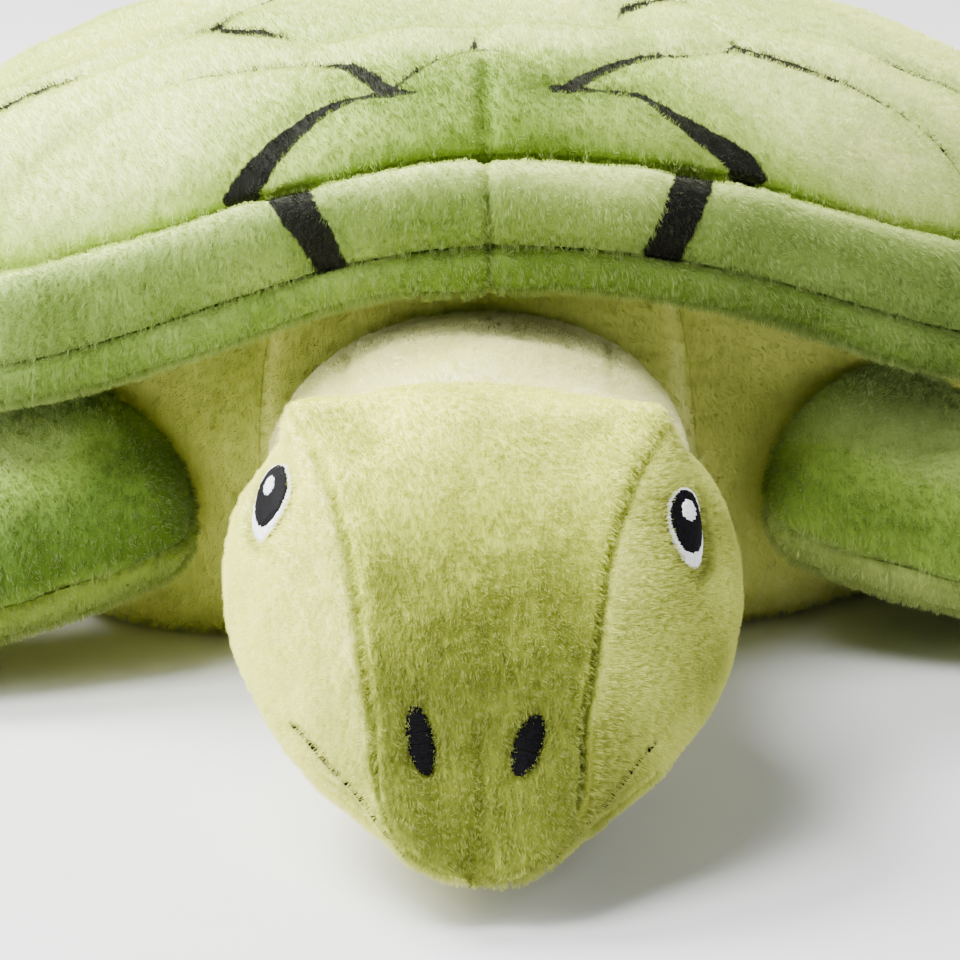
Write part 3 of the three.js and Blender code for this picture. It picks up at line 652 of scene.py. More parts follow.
def add_body():
    def height(points, theta, s):
        seam = 0
        for place in (-BODY_BACK_SEAM, -BODY_FRONT_SEAM, BODY_FRONT_SEAM, BODY_BACK_SEAM):
            seam = seam - 0.8 * bump((theta - place) * 1.8, 1.8)
        wrap = -1.3 * bump((360 - BODY_BACK_SEAM - theta) * 1.8, 1.8)
        under = -1.0 * bump((1 - s) * 90, 2.2)
        front = bump(theta, 80)
        folds = front * 1.5 * np.sin(points[..., 2] / 4.2 + 1.4 * wobble(points, 50, 21))
        folds = folds * ease(s * 3) * ease((1 - s) * 4) * (0.5 + 0.5 * wobble(points, 40, 22))
        return seam + wrap + under + folds + 1.2 * wobble(points, 60, 23) * ease((1 - s) * 5)

    def tone(points, theta, s):
        ridge = bump((np.abs(theta) - BODY_FRONT_SEAM + 1.5) * 1.8, 3.5)
        # Painted light: the right side is paler and the left darker
        lit = 0.12 * clamp(theta / 25, -1, 1)
        clouded = 0.55 + 0.12 * wobble(points, 34, 24)
        # Painted shade: the upper part, under the rim, stays darker than the paler lower half
        return clouded - 0.2 * ease((s - 0.5) / 0.3) - 0.3 * ridge - lit

    walls = [("body_front_panel", -BODY_FRONT_SEAM, BODY_FRONT_SEAM, 80),
             ("body_side_right", BODY_FRONT_SEAM, BODY_BACK_SEAM, 150),
             ("body_side_left", -BODY_BACK_SEAM, -BODY_FRONT_SEAM, 150),
             ("body_back_panel", BODY_BACK_SEAM, 360 - BODY_BACK_SEAM, 90)]
    for node, start, end, columns in walls:
        piece = torso_cloth(node, "wall", mix(start, end, crowded(columns)), crowded(60, 0.4),
                            height, tone, "body_pile")
        if node == "body_front_panel":
            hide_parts("body_stuffing")
    flat = torso_cloth("belly_panel", "belly", np.linspace(-180, 180, 241), np.linspace(0, 1, 40),
                       lambda points, theta, s: np.zeros(theta.shape), tone, "body_pile", ring=True)


# Limbs

FRONT = dict(root=(83, -46), heading=-24, length=130, sweep=54, chord=39, thick=18, lift=16,
             landing=0.9, tilt=10, taper=2.6, tip=0.55)
REAR = dict(root=(74, 124), heading=38, length=92, sweep=26, chord=30, thick=13, lift=8,
            landing=0.6, tilt=0, taper=2.4, tip=0.6)
TAIL = dict(root=(0, 168), heading=90, length=44, sweep=0, chord=17, thick=9, lift=9,
            landing=0.6, tilt=0, taper=1.6, tip=0.6)
FLOOR_GAP, SWEEP_POWER = 0.6, 2.4


def turned_about(vector, axis, angle):
    c, s = np.cos(angle)[..., None], np.sin(angle)[..., None]
    along = (vector * axis).sum(-1, keepdims=True) * axis
    return vector * c + np.cross(axis, vector) * s + along * (1 - c)


def limb_points(limb, phi, v):
    """Points on a limb, phi in degrees round it, v below 0 on its root and up to 1 at its tip."""
    reach = limb["length"] - limb["thick"]
    share = clamp(v)
    heading = limb["heading"] * DEG
    out = np.array([math.cos(heading), math.sin(heading)])
    back = np.array([-out[1], out[0]]) if limb["sweep"] > 0 else np.zeros(2)
    swept = limb["sweep"] * share ** SWEEP_POWER
    slope = limb["sweep"] * SWEEP_POWER * share ** (SWEEP_POWER - 1) / reach
    ground = [limb["root"][k] + out[k] * reach * share + back[k] * swept for k in (0, 1)]
    span = np.stack([out[0] + back[0] * slope, out[1] + back[1] * slope, 0 * slope], -1)
    span /= np.linalg.norm(span, axis=-1, keepdims=True)
    level = np.stack([-span[..., 1], span[..., 0], 0 * slope], -1)
    chord = turned_about(level, span, limb["tilt"] * (1 - share) * DEG)
    up = np.cross(span, chord)
    lift = limb["lift"] * (1 - clamp(share / limb["landing"])) ** 2
    full = np.sqrt(np.maximum(1 - share ** limb["taper"], 0))
    thin = full * mix(1, limb["tip"], share)
    middle = np.stack([ground[0], ground[1], FLOOR_GAP + limb["thick"] * thin + lift], -1)
    end = np.where(v < 0, -v * 90 * DEG, 0)
    across = np.where(v < 0, np.cos(end), full)[..., None]
    through = np.where(v < 0, np.cos(end), thin)[..., None]
    turn = (phi * DEG)[..., None]
    return (middle - span * (limb["thick"] * np.sin(end))[..., None]
            + chord * limb["chord"] * across * np.sin(turn)
            + up * limb["thick"] * through * np.cos(turn))


def seam_distance(phi, start, radius):
    """Distance from the two edges of half a tube that begins at an angle."""
    return np.minimum(np.abs(phi - start), np.abs(phi - start - 180)) * DEG * radius


def add_limb(name, limb, side, body):
    """A limb's two panels. The pile is painted darker on the left, most of all at the root, and
    paler on the right: painted shade and painted light for how the lamps fall on each side.
    """
    rows = np.concatenate([np.linspace(-1, 0, 13)[:-1], np.sin(np.linspace(0, 90, 91) * DEG)])
    for part, start, slot in (("upper", -90, "flipper_pile"), ("lower", 90, "flipper_under_pile")):
        phi, v = np.meshgrid(start + 180 * crowded(64, 0.75), rows, indexing="ij")
        points = limb_points(limb, phi, v)
        nearest = seam_distance(phi, start, limb["thick"])
        seam = -1.2 * bump(nearest, 1.3) * ease((1 - v) * 8)
        folds = 0.9 * np.sin(points[..., 0] / 5 + 2 * wobble(points, 40, 31)) * bump(v - 0.25, 0.25)
        soft = 0.8 * wobble(points, 36, 32) + 0.5 * folds
        lift = seam + soft * ease((1 - v) * 5) * (1 if part == "upper" else 0.25)
        if part == "upper":
            front = bump((phi - start - 30) / 90, 0.4 if side < 0 else 0.3)
            # Painted shade on the left and painted light on the right, not the fabric's own colour
            deep = 0.9 if side < 0 else 0.6
            root = 0.3 * (1 - ease(v / 0.1)) if side < 0 else -0.1
            tone = 0.12 + deep * front + root + 0.06 * wobble(points, 34, 33)
        else:
            # The under panel is also painted darker on the left: painted shade
            tone = (0.85 if side < 0 else 0.4) + 0.1 * wobble(points, 26, 34)
        piece = cloth(f"{name}_{part}", displaced(points, lift), tone, slot, side=side)
        attach(piece, body)
        if part == "upper":
            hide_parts(f"{name}_stuffing")


def attach(piece, body):
    """A limb's fabric: the tail's is parented to the torso; a flipper's is left unparented, in
    place.
    """
    if body is None:
        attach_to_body(piece, "torso")
        return
    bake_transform(piece)


# Neck

NECK_ROOT_Y, NECK_HEAD_Y, NECK_ROOT_Z, NECK_HEAD_Z = -76.0, -150.0, 47.0, 48.0
NECK_HALF, NECK_HIGH = 42.0, 28.0


def neck_points(phi, v):
    beyond = np.where(v < 0, -v, np.maximum(v - 1, 0)) * 90 * DEG
    middle = mix(NECK_ROOT_Y, NECK_HEAD_Y, clamp(v))
    reach = np.where(v < 0, NECK_HALF, -NECK_HIGH) * np.sin(beyond)
    level = mix(NECK_ROOT_Z, NECK_HEAD_Z, clamp(v))
    x = NECK_HALF * np.cos(beyond) * np.sin(phi * DEG)
    z = level + NECK_HIGH * np.cos(beyond) * np.cos(phi * DEG)
    return np.stack([x, middle + reach, z], -1)


def add_neck():
    rows = np.concatenate([np.linspace(-1, 0, 13)[:-1], np.linspace(0, 1, 61),
                           np.linspace(1, 2, 11)[1:]])
    for part, start in (("top", -90), ("throat", 90)):
        phi, v = np.meshgrid(start + 180 * crowded(90, 0.4), rows, indexing="ij")
        points = neck_points(phi, v)
        seam = -1.0 * bump(seam_distance(phi, start, NECK_HALF), 1.4)
        dart = -0.9 * bump((np.abs(phi) - 40) * DEG * NECK_HALF, 1.5) * (part == "top")
        soft = 0.8 * wobble(points, 30, 41) - 0.7 * bump(v - 0.75 - 0.1 * np.sin(phi * DEG), 0.05)
        inside = ease((v + 0.05) / 0.1) * ease((1.05 - v) / 0.1)
        shape = displaced(points, (seam + dart + soft) * inside)
        tone = 0.04 + 0.05 * wobble(points, 24, 42) + (0.25 if part == "throat" else 0)
        piece = cloth(f"neck_{part}_panel", shape, tone, "head_pile")
        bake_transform(piece)
        if part == "top":
            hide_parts("neck_stuffing")


# Head

HEAD_LENGTH, HEAD_HALF = 86.0, 49.2
NAPE_Z, BROW_Z, BROW_PLACE, BEAK_Z = 79.5, 81.5, 0.16, 8.0
JAW_Z, THROAT_Z, CHEEK_LEVEL = 7.5, 11.0, 0.55
FACE_FALL, BEAK_ROUND, SNOUT_FALL, SNOUT_ROUND = 1.7, 0.65, 2.8, 0.63
HEAD_ROLL = 4.0
TIP_PROUD, TIP_WAY = 0.4, np.array([0.0, -0.98, -0.2])   # the beak's tip, where four panels meet
SEAM_SKEW = 2.4      # the crown is sewn a little to the left
# Soft forms on the head: how far out, angle, share of the length, and how wide each way
HEAD_FORMS = [(-2.0, 68, 0.36, 12, 0.12), (1.2, 88, 0.55, 24, 0.2)]
# Embroidered ovals: angle and share of the length, shift back, turn, half length, half width
EYES = {"right": (54.2, 0.428, 1.2, 40, 9.4, 5.2), "left": (59.8, 0.357, 1.8, 27, 10.4, 6.4)}
NOSTRILS = {"right": (24.6, 0.904, 0, 66, 6.0, 2.3), "left": (31.6, 0.899, 0, 78, 6.5, 2.2)}
# The mouth's line: angle and share of the length
MOUTH = {
    "right": [(92.4, 0.765), (94.2, 0.804), (98.5, 0.834), (103, 0.862), (106.5, 0.89),
              (108, 0.918), (110, 0.94), (117, 0.954)],
    "left": [(96, 0.735), (94.3, 0.776), (95.3, 0.812), (97.5, 0.84), (99.8, 0.866),
             (101.8, 0.893), (104.5, 0.922), (111, 0.942), (120, 0.954)],
}
# How deep the crown's tone is along it, from the nape to the beak: partly the fabric's deeper green
# at the snout, partly painted shade where the face turns down away from the top light
CROWN_PLACES = (0.0, 0.25, 0.4, 0.5, 0.6, 0.7, 0.78, 0.86, 0.92, 1.0)
CROWN_TONES = (0.1, 0.02, 0.1, 0.28, 0.46, 0.64, 0.84, 0.98, 0.94, 0.88)


def crown_line(q):
    rear = BROW_Z - (BROW_Z - NAPE_Z) * (1 - np.minimum(q, BROW_PLACE) / BROW_PLACE) ** 2
    down = clamp((q - BROW_PLACE) / (1 - BROW_PLACE))
    front = BEAK_Z + (BROW_Z - BEAK_Z) * np.maximum(1 - down ** FACE_FALL, 0) ** BEAK_ROUND
    return np.where(q < BROW_PLACE, rear, front)


def jaw_line(q):
    rear = JAW_Z + (THROAT_Z - JAW_Z) * (1 - clamp(q / 0.5)) ** 2
    return np.where(q < 0.5, rear, JAW_Z + (BEAK_Z - JAW_Z) * clamp((q - 0.5) / 0.5) ** 3)


def head_width(q):
    rear = 1 - 0.1 * clamp(1 - q / 0.35) ** 2
    return HEAD_HALF * rear * np.maximum(1 - clamp(q) ** SNOUT_FALL, 0) ** SNOUT_ROUND


def crown_seam(q, sign=0):
    narrowed = mix(44.0, 34.5, ease(q / 0.58))
    flared = 16.0 * (np.maximum(q - 0.58, 0) / 0.3) ** 2
    return narrowed + flared + 44.0 * ease((q - 0.85) / 0.15) - SEAM_SKEW * sign


def jaw_seam(q):
    return mix(118.0, 112.0, q)


HEAD_MIDDLE = np.array([0, -180.0, 45.0])


def brow(side, q, right):
    """The crown's rear corners stand out over the eyes, with a dent in front of each."""
    inside = side - crown_seam(q) + 5 * right
    corner = ease((inside + 24) / 22) * (1 - ease((inside - 1) / 11)) * bump(q - 0.13, 0.12)
    ridge = bump(inside + 1, 6) * bump(q - 0.1, 0.15)
    dent = bump(inside + 13, 7.5) * bump(q - 0.27, 0.11)
    return (4.2 * corner + 3.6 * ridge) * (1 - 0.35 * right) - 3.4 * dent


def head_points(phi, q):
    """Points on the smooth head, phi in degrees from the top."""
    turned = wrapped(phi * DEG)
    side = np.abs(turned) / DEG
    q = clamp(q)
    forms = brow(side, q, ease((turned + 0.1) / 0.2))
    forms = forms + sum(out * bump(side - angle, wide) * bump(q - place, deep)
                        for out, angle, place, wide, deep in HEAD_FORMS)
    share = (HEAD_HALF + forms) / HEAD_HALF
    top, bottom = crown_line(q), jaw_line(q)
    level = mix(bottom, top, CHEEK_LEVEL)
    tall = np.where(np.cos(turned) > 0, top - level, level - bottom)
    power = 2 / mix(2.3, 2.0, q)
    x = head_width(q) * share * signed_power(np.sin(turned), power)
    rise = level + tall * share * signed_power(np.cos(turned), power) - NECK_HEAD_Z
    y = NECK_HEAD_Y - HEAD_LENGTH * q
    roll = HEAD_ROLL * DEG
    return np.stack([x * math.cos(roll) + rise * math.sin(roll), y + 0 * x,
                     NECK_HEAD_Z + rise * math.cos(roll) - x * math.sin(roll)], -1)


def head_outward(phi, q):
    """Points on the smooth head, and the outward direction at each."""
    small = 0.25
    base = head_points(phi, q)
    round_it = head_points(phi + small, q) - head_points(phi - small, q)
    along_it = head_points(phi, q + small / 90) - head_points(phi, q - small / 90)
    normal = np.cross(along_it, round_it)
    normal /= np.maximum(np.linalg.norm(normal, axis=-1, keepdims=True), 1e-9)
    return base, normal * np.sign(((base - HEAD_MIDDLE) * normal).sum(-1, keepdims=True))


def oval_frame(spot, sign):
    """Middle, long, short and outward directions of an embroidered oval, and its half sizes."""
    angle, share, back, turn, half_long, half_short = spot
    base, normal = head_outward(np.array(float(sign * angle)), np.array(float(share)))
    forward = np.cross([0.0, 0.0, 1.0], normal)
    forward /= -np.linalg.norm(forward) * np.sign(forward[1])
    up = np.cross(forward, normal)
    up = up * np.sign(up[2])
    c, s = math.cos(turn * DEG), math.sin(turn * DEG)
    frame = (base - forward * back, forward * c - up * s, forward * s + up * c, normal)
    return frame, half_long, half_short


def oval_place(spot, sign, points):
    """Distances along and across an embroidered oval, and its outline's share: 1 on the edge."""
    (middle, long, short, normal), half_long, half_short = oval_frame(spot, sign)
    away = points - middle
    far_side = np.where(away @ normal < -22, 1e3, 0.0)
    along, across = away @ long + far_side, away @ short
    return along, across, np.hypot(along / half_long, across / half_short)


def head_spread(phi, q):
    """Signed angle from the top in degrees, and how many millimetres a degree is there."""
    return wrapped(phi * DEG) / DEG, np.maximum(head_width(q), 12) * DEG


def head_relief(points, phi, q):
    """Seams, eye dents, the mouth's crease and the softness of the stuffing."""
    turned, width = head_spread(phi, q)
    side = np.abs(turned)
    seam = (side - crown_seam(q, np.sign(turned))) * width
    relief = (0.4 * bump(seam, 5.5) - 1.7 * bump(seam, 1.4)) * ease((0.95 - q) / 0.05)
    relief = relief - 1.0 * bump((side - jaw_seam(q)) * width, 1.5) * ease((0.97 - q) / 0.05)
    middle = bump(points[..., 0] + 1.5, 1.1) * ease((q - 0.87) / 0.04) * ease((0.99 - q) / 0.03)
    relief = relief - 0.7 * middle * (side < 90) + 4.4 * bump(q - 0.965, 0.05) * bump(side - 85, 55)
    for name, sign in SIDES:
        along, across, share = oval_place(EYES[name], sign, points)
        outer = 0.3 + 0.7 * ease((1 - across) / 6)
        beyond = (share - 1) * EYES[name][5]
        relief = relief - 1.5 * bump(beyond - 0.6, 1.6) * outer - 0.5 * ease((1 - share) * 4)
        along, across, share = oval_place(NOSTRILS[name], sign, points)
        relief = relief - 0.9 * bump(np.maximum(share - 1, 0) * 2.2, 1.6)
        relief = relief - 1.1 * bump(mouth_distance(name, sign, phi, q), 1.5)
    relief = relief + 0.55 * wobble(points, 34, 51) + 0.25 * wobble(points, 14, 52)
    return mix(relief, TIP_PROUD, ease((q - 0.988) / 0.012))


def mouth_distance(name, sign, phi, q):
    """Distance over the head's surface from the mouth's line, in millimetres."""
    turned, width = head_spread(phi, q)
    flat = np.stack([sign * turned * width, q * HEAD_LENGTH], -1)
    best = np.full(phi.shape, 1e3)
    for angle, share in through(MOUTH[name], 40):
        place = np.stack([angle * width, 0 * width + share * HEAD_LENGTH], -1)
        best = np.minimum(best, np.linalg.norm(flat - place, axis=-1))
    return best


def head_tone(points, phi, q):
    turned, width = head_spread(phi, q)
    inside = (np.abs(turned) - crown_seam(q, np.sign(turned))) * width
    crown = ease((3 - inside) / 8)
    snout = np.interp(q, CROWN_PLACES, CROWN_TONES)
    # Painted shade: the right cheek is darker than the left, away from the key lamp; the rise
    # towards the snout is the fabric's own
    cheek = 0.04 + 0.5 * ease(turned / 60) + 0.3 * ease((q - 0.72) / 0.22)
    tone = mix(cheek, snout, crown)
    tone = tone + 0.3 * bump(inside - 0.3, 1.2) * ease((q - 0.25) / 0.1)
    # Painted shade in the dent in front of each brow corner
    tone = tone + 0.3 * bump(inside + 9, 7) * bump(q - 0.29, 0.1)
    for name, sign in SIDES:
        along, across, share = oval_place(EYES[name], sign, points)
        beyond = (share - 1) * EYES[name][5]
        # Painted shade in the sunk ring round each eye, mostly on its outer side
        tone = tone + 0.55 * bump(beyond - 1.0, 1.1) * (0.15 + 0.85 * ease((1 - across) / 5))
        # Painted shade along the mouth's crease
        tone = tone + 0.25 * bump(mouth_distance(name, sign, phi, q), 1.2)
    return tone + 0.08 * wobble(points, 20, 53)


def head_cloth(node, start, end, columns):
    """A head panel between two seam angles, tucked in behind onto the neck."""
    face_rows = 121
    tuck = np.linspace(1, 0, 15)[:-1]
    q_rows = np.concatenate([0 * tuck, np.sin(np.linspace(0, 90, face_rows) * DEG)])
    t, q = np.meshgrid(crowded(columns, 0.7), q_rows, indexing="ij")
    phi = mix(start(q), end(q), t)
    points = head_points(phi, q)
    normals = grid_normals(points)
    normals[:, -1] = TIP_WAY
    points = points + normals * head_relief(points, phi, q)[..., None]
    curl = np.concatenate([tuck, np.zeros(face_rows)])[None, :] * 90 * DEG
    turned = phi * DEG
    inner = np.stack([(NECK_HALF - 1) * np.sin(turned), 0 * turned + NECK_HEAD_Y,
                      NECK_HEAD_Z + (NECK_HIGH - 1) * np.cos(turned)], -1)
    points = mix(points, inner, (1 - np.cos(curl))[..., None])
    points[..., 1] += 8 * np.sin(curl)
    piece = cloth(node, points, head_tone(points, phi, q), "head_pile")
    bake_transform(piece)
    return piece


def add_head():
    def right_seam(q):
        return crown_seam(q, 1)

    def left_seam(q):
        return -crown_seam(q, -1)

    crown = head_cloth("crown_panel", left_seam, right_seam, 110)
    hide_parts("head_stuffing")
    head_cloth("cheek_right", right_seam, jaw_seam, 80)
    head_cloth("cheek_left", lambda q: -jaw_seam(q), left_seam, 80)
    head_cloth("jaw_panel", jaw_seam, lambda q: 360 - jaw_seam(q), 80)


# Embroidery

def head_tree():
    """All the head's panels as one tree, so that thread can be laid on the real fabric."""
    vertices, faces = [], []
    for node in ("crown_panel", "cheek_right", "cheek_left", "jaw_panel"):
        mesh = bpy.data.objects[f"{node}_cloth"].data
        first = len(vertices)
        vertices.extend([v.co / MM for v in mesh.vertices])
        faces.extend([[first + i for i in p.vertices] for p in mesh.polygons])
    return BVHTree.FromPolygons(vertices, faces)


def laid(tree, oval, along, across, rise):
    """Points over an oval's flat frame, brought down onto the fabric and raised from it."""
    middle, long, short, normal = oval
    flat = middle + along[..., None] * long + across[..., None] * short
    outward = Vector(normal)
    placed = []
    for point, height in zip(flat.reshape(-1, 3), rise.reshape(-1)):
        hit = tree.ray_cast(Vector(point) + outward * 25, -outward, 60)[0]
        placed.append(np.array(hit if hit else point) + normal * height)
    return np.array(placed).reshape(flat.shape)


THREAD_HALF = 0.2    # half the width of one thread


def tube_faces(steps, sides, first=0):
    """Faces of a closed tube, whose rings of vertices follow on from the first vertex."""
    faces = []
    for i in range(steps):
        for j in range(sides):
            p, q = first + i * sides + j, first + i * sides + (j + 1) % sides
            faces.append([p, q, q + sides, p + sides])
    ring = np.arange(sides) + first
    return faces + [ring[::-1].tolist(), (ring + steps * sides).tolist()]


def satin(node, tree, spot, sign, size, lift, slot, seed, shift=(0, 0)):
    """An oval of satin stitch: threads side by side from edge to edge, a little ragged there."""
    oval, half_long, half_short = oval_frame(spot, sign)
    half_long, half_short = size or (half_long, half_short)
    rng = np.random.default_rng(seed)
    threads = int(2 * half_long / (THREAD_HALF * 1.6))
    steps, sides = 12, 6
    share, ring = np.meshgrid(np.linspace(-1, 1, steps + 1),
                              np.linspace(0, 2 * math.pi, sides, endpoint=False), indexing="ij")
    vertices, faces = [], []
    for k in range(threads):
        level = mix(-half_long, half_long, (k + 0.5) / threads)
        width = half_short * math.sqrt(max(1 - (level / half_long) ** 2, 0.0))
        start, end = -width - rng.uniform(-0.15, 0.4), width + rng.uniform(-0.15, 0.4)
        across = mix(start, end, (share + 1) / 2)
        along = level + THREAD_HALF * np.cos(ring) + rng.normal(0, 0.03) + 0.12 * share
        crown = 0.5 * np.sqrt(np.maximum(1 - share ** 2, 0)) * min(width / 3, 1)
        points = laid(tree, oval, along + shift[0], across + shift[1],
                      lift + crown + THREAD_HALF * np.sin(ring))
        faces += tube_faces(steps, sides, len(vertices))
        vertices.extend(points.reshape(-1, 3).tolist())
    piece = make_object(f"{node}_thread", vertices, faces, {}, slot)
    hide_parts(node)
    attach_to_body(piece, "head")


def through(points, count):
    """A smooth curve through a list of points (Catmull-Rom)."""
    p = np.array([points[0], *points, points[-1]], float)
    t = np.linspace(0, len(points) - 1.0001, count)
    i = t.astype(int)
    t = (t - i)[:, None]
    a, b, c, d = p[i], p[i + 1], p[i + 2], p[i + 3]
    return b + 0.5 * t * (c - a + t * (2 * a - 5 * b + 4 * c - d + t * (3 * (b - c) + d - a)))


MOUTH_HALF = 0.45    # half the width of the mouth's line


def add_mouth(name, sign):
    """A line of stitches drawn into the pile, from the cheek forwards under the beak."""
    steps, sides = 120, 8
    angle, share = through(MOUTH[name], steps + 1).T
    phi = sign * angle
    base, outward = head_outward(phi, share)
    stitches = np.abs(np.sin(np.linspace(0, 40 * math.pi, steps + 1)))
    rise = head_relief(base, phi, share) + 0.8 + 0.3 * stitches
    path = base + outward * rise[..., None]
    ahead = np.gradient(path, axis=0)
    ahead /= np.linalg.norm(ahead, axis=1, keepdims=True)
    side = np.cross(ahead, path - HEAD_MIDDLE)
    side /= np.linalg.norm(side, axis=1, keepdims=True)
    up = np.cross(side, ahead)
    ring = np.linspace(0, 2 * math.pi, sides, endpoint=False)[None, :, None]
    half = MOUTH_HALF * np.sin(np.linspace(0.15, math.pi - 0.15, steps + 1))[:, None, None] ** 0.3
    points = path[:, None] + (side[:, None] * np.cos(ring) + up[:, None] * np.sin(ring)) * half
    piece = make_object(f"mouth_stitch_{name}_thread", points.reshape(-1, 3),
                        tube_faces(steps, sides), {}, "black_thread")
    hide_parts(f"mouth_stitch_{name}")
    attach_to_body(piece, "head")


# Half sizes and shifts, along and across, of the larger eye and of its pupil and highlight
EYE_LONG, EYE_SHORT = 10.4, 6.4
PUPIL, PUPIL_SHIFT = (8.3, 4.8), (-0.7, 0.9)
HIGHLIGHT, HIGHLIGHT_SHIFT = (2.4, 1.5), (-2.9, 1.5)


def add_face():
    tree = head_tree()
    for name, sign in SIDES:
        eye = EYES[name]
        small = eye[5] / EYE_SHORT
        pupil = (PUPIL[0] * eye[4] / EYE_LONG, PUPIL[1] * small)
        satin(f"eye_white_{name}", tree, eye, sign, None, 0.55, "white_thread", 61)
        satin(f"eye_pupil_{name}", tree, eye, sign, pupil, 1.0, "black_thread", 62,
              shift=(PUPIL_SHIFT[0], PUPIL_SHIFT[1] * small))
        satin(f"eye_highlight_{name}", tree, eye, sign, HIGHLIGHT, 1.6, "white_thread", 63,
              shift=(HIGHLIGHT_SHIFT[0], HIGHLIGHT_SHIFT[1] * small))
        satin(f"nostril_{name}", tree, NOSTRILS[name], sign, None, 0.5, "black_thread", 64)
        add_mouth(name, sign)


def bare_ovals():
    """No pile grows where thread lies."""
    for node in ("crown_panel", "cheek_right", "cheek_left"):
        piece = bpy.data.objects[f"{node}_cloth"]
        place = np.array([v.co for v in piece.data.vertices]) / MM
        weight = np.ones(len(place))
        for spots in (EYES, NOSTRILS):
            for name, sign in SIDES:
                share = oval_place(spots[name], sign, place)[2]
                weight = weight * ease((share - 0.85) / 0.15)
        group = piece.vertex_groups["outer"]
        members = [v.index for v in piece.data.vertices if v.groups]
        for index in members:
            group.add([index], float(weight[index]), "REPLACE")


# Pile: short hair over every panel

# Hairs to a square millimetre and their length
PILE = {
    "shell_pile": (3.2, 1.7), "rim_pile": (4.6, 1.9), "body_pile": (2.4, 1.8),
    "head_pile": (7.0, 1.7), "flipper_pile": (3.2, 1.9), "flipper_under_pile": (2.6, 1.9),
}
# The way the pile lies, by the start of a piece's name
LEAN = {
    "crown": (0, -0.35, -0.35), "cheek_right": (0.3, -0.1, -0.3), "cheek_left": (-0.3, -0.1, -0.3),
    "shell": (0, -0.4, -0.05), "rim": (0, -0.2, -0.35), "neck": (0, -0.3, -0.1),
}
CHILDREN = 12
HAIR = {
    "hair_step": 3, "render_step": 2, "display_step": 2, "use_advanced_hair": True,
    "emit_from": "FACE", "use_modifier_stack": False, "distribution": "RAND",
    "child_type": "INTERPOLATED", "rendered_child_count": CHILDREN, "child_length": 1.0,
    "clump_factor": 0.35, "roughness_2": 0.0003, "roughness_2_size": 0.002,
    "roughness_endpoint": 0.0002, "root_radius": 1.0, "tip_radius": 0.35,
    "radius_scale": 0.0001, "shape": 0.2, "material": 1,
}


def lean(piece):
    for start, way in LEAN.items():
        if piece.name.startswith(start):
            return way
    return (0, -0.3, -0.25)


def outer_area(piece):
    group = {v.index for v in piece.data.vertices if v.groups}
    return sum(p.area for p in piece.data.polygons if all(i in group for i in p.vertices)) / MM ** 2


def add_pile(piece, slot, seed):
    density, length = PILE[slot]
    piece.modifiers.new("pile", "PARTICLE_SYSTEM")
    system = piece.particle_systems[-1]
    system.seed = seed
    system.vertex_group_density = "outer"
    s = system.settings
    s.type = "HAIR"
    s.count = max(int(outer_area(piece) * density / CHILDREN), 10)
    for key, value in HAIR.items():
        setattr(s, key, value)
    grow = length * MM / 4
    s.normal_factor = grow * 0.7
    s.object_align_factor = tuple(grow * way for way in lean(piece))
    s.factor_random = grow * 0.22


def add_all_pile():
    for seed, piece in enumerate(sorted(bpy.data.objects, key=lambda o: o.name)):
        if piece.type == "MESH" and piece.name.endswith("_cloth"):
            add_pile(piece, SLOTS[piece.name], 100 + seed)


# Stage and light

FLOOR_REACH = 12.0   # metres from the middle to the floor's edge
AIM = (0, -0.08, 0.05)
WARM, WHITE = (1.0, 0.995, 0.975), (1, 1, 1)
# Square area lamps: place and side in metres, power in watts, colour
LAMPS = {
    "key": ((-1.1, 0.8, 1.35), 1.0, 160, WARM),
    "side": ((-1.2, -0.7, 0.75), 1.0, 26, WARM),
    "top": ((-0.6, -0.35, 1.5), 0.8, 44, WHITE),
    "fill": ((1.3, -0.4, 0.9), 1.0, 13, WHITE),
}


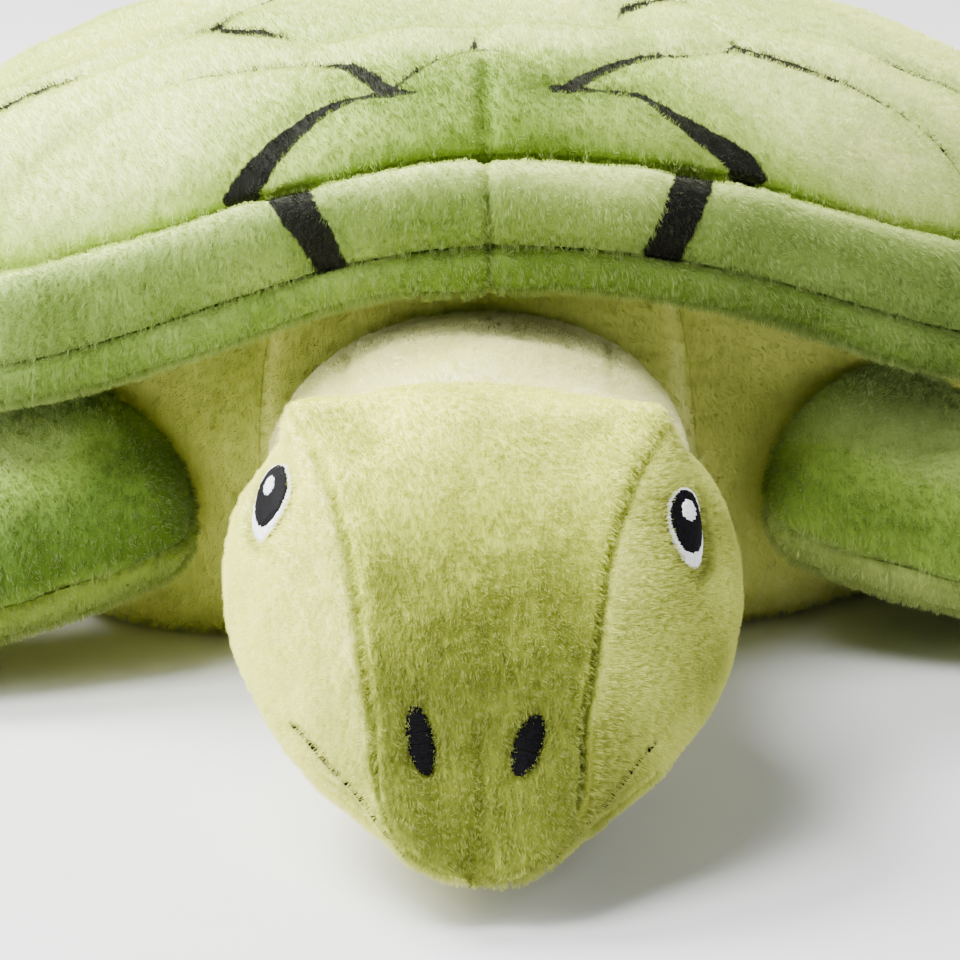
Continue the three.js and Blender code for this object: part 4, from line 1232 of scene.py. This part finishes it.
def add_stage():
    """A pale floor, cooler and darker behind the toy in painted shade, that glows a little far away
    from it in painted light.
    """
    n = Nodes("floor")
    grain = n.noise(18.0)
    place = n.add("ShaderNodeSeparateXYZ")
    n.put(place.inputs[0], n.add("ShaderNodeTexCoord").outputs["Object"])
    x, y = place.outputs[0], place.outputs[1]
    near = n.blend(grain, linear(224, 224, 225), linear(219, 219, 222))
    # Painted shade: the floor turns darker and cooler behind the toy
    colour = n.blend(n.step(y, 0.2, 1.6), near, linear(176, 177, 188))
    n.put(n.shader.inputs["Base Color"], colour)
    n.surface({"Roughness": 0.55, "Specular IOR Level": 0.25, "Emission Color": (1, 1, 1, 1)})
    away = n.math("SQRT", n.math("ADD", n.math("POWER", x, 2.0), n.math("POWER", y, 2.0)))
    # Painted light: the far floor glows, though it is no lamp
    n.put(n.shader.inputs["Emission Strength"], n.step(away, 0.9, 2.0, 0.0, 0.8))
    mesh = bpy.data.meshes.new("floor")
    r = FLOOR_REACH
    mesh.from_pydata([(-r, -r, 0), (r, -r, 0), (r, r, 0), (-r, r, 0)], [], [(0, 1, 2, 3)])
    mesh.materials.append(n.material)
    floor = bpy.data.objects.new("floor", mesh)
    floor.location.z = -0.0004
    bpy.context.collection.objects.link(floor)


def add_lights():
    world = bpy.data.worlds.new("studio")
    world.use_nodes = True
    background = world.node_tree.nodes["Background"]
    background.inputs[0].default_value = (0.92, 0.93, 1.0, 1)
    background.inputs[1].default_value = 0.1
    bpy.context.scene.world = world
    for name, (place, size, power, colour) in LAMPS.items():
        data = bpy.data.lights.new(name, "AREA")
        data.shape, data.size, data.size_y = "RECTANGLE", size, size
        data.energy, data.color = power, colour
        lamp = bpy.data.objects.new(name, data)
        bpy.context.collection.objects.link(lamp)
        lamp.location = place
        lamp.rotation_euler = (Vector(AIM) - Vector(place)).to_track_quat("-Z", "Y").to_euler()


add_shell()
add_rim()
add_body()
add_neck()
for end, limb in (("front", FRONT), ("rear", REAR)):
    for name, sign in SIDES:
        add_limb(f"{end}_flipper_{name}", limb, sign, f"{end}_flipper_{name}")
add_limb("tail", TAIL, 1, None)
add_head()
add_face()
bare_ovals()
add_all_pile()
add_stage()
add_lights()
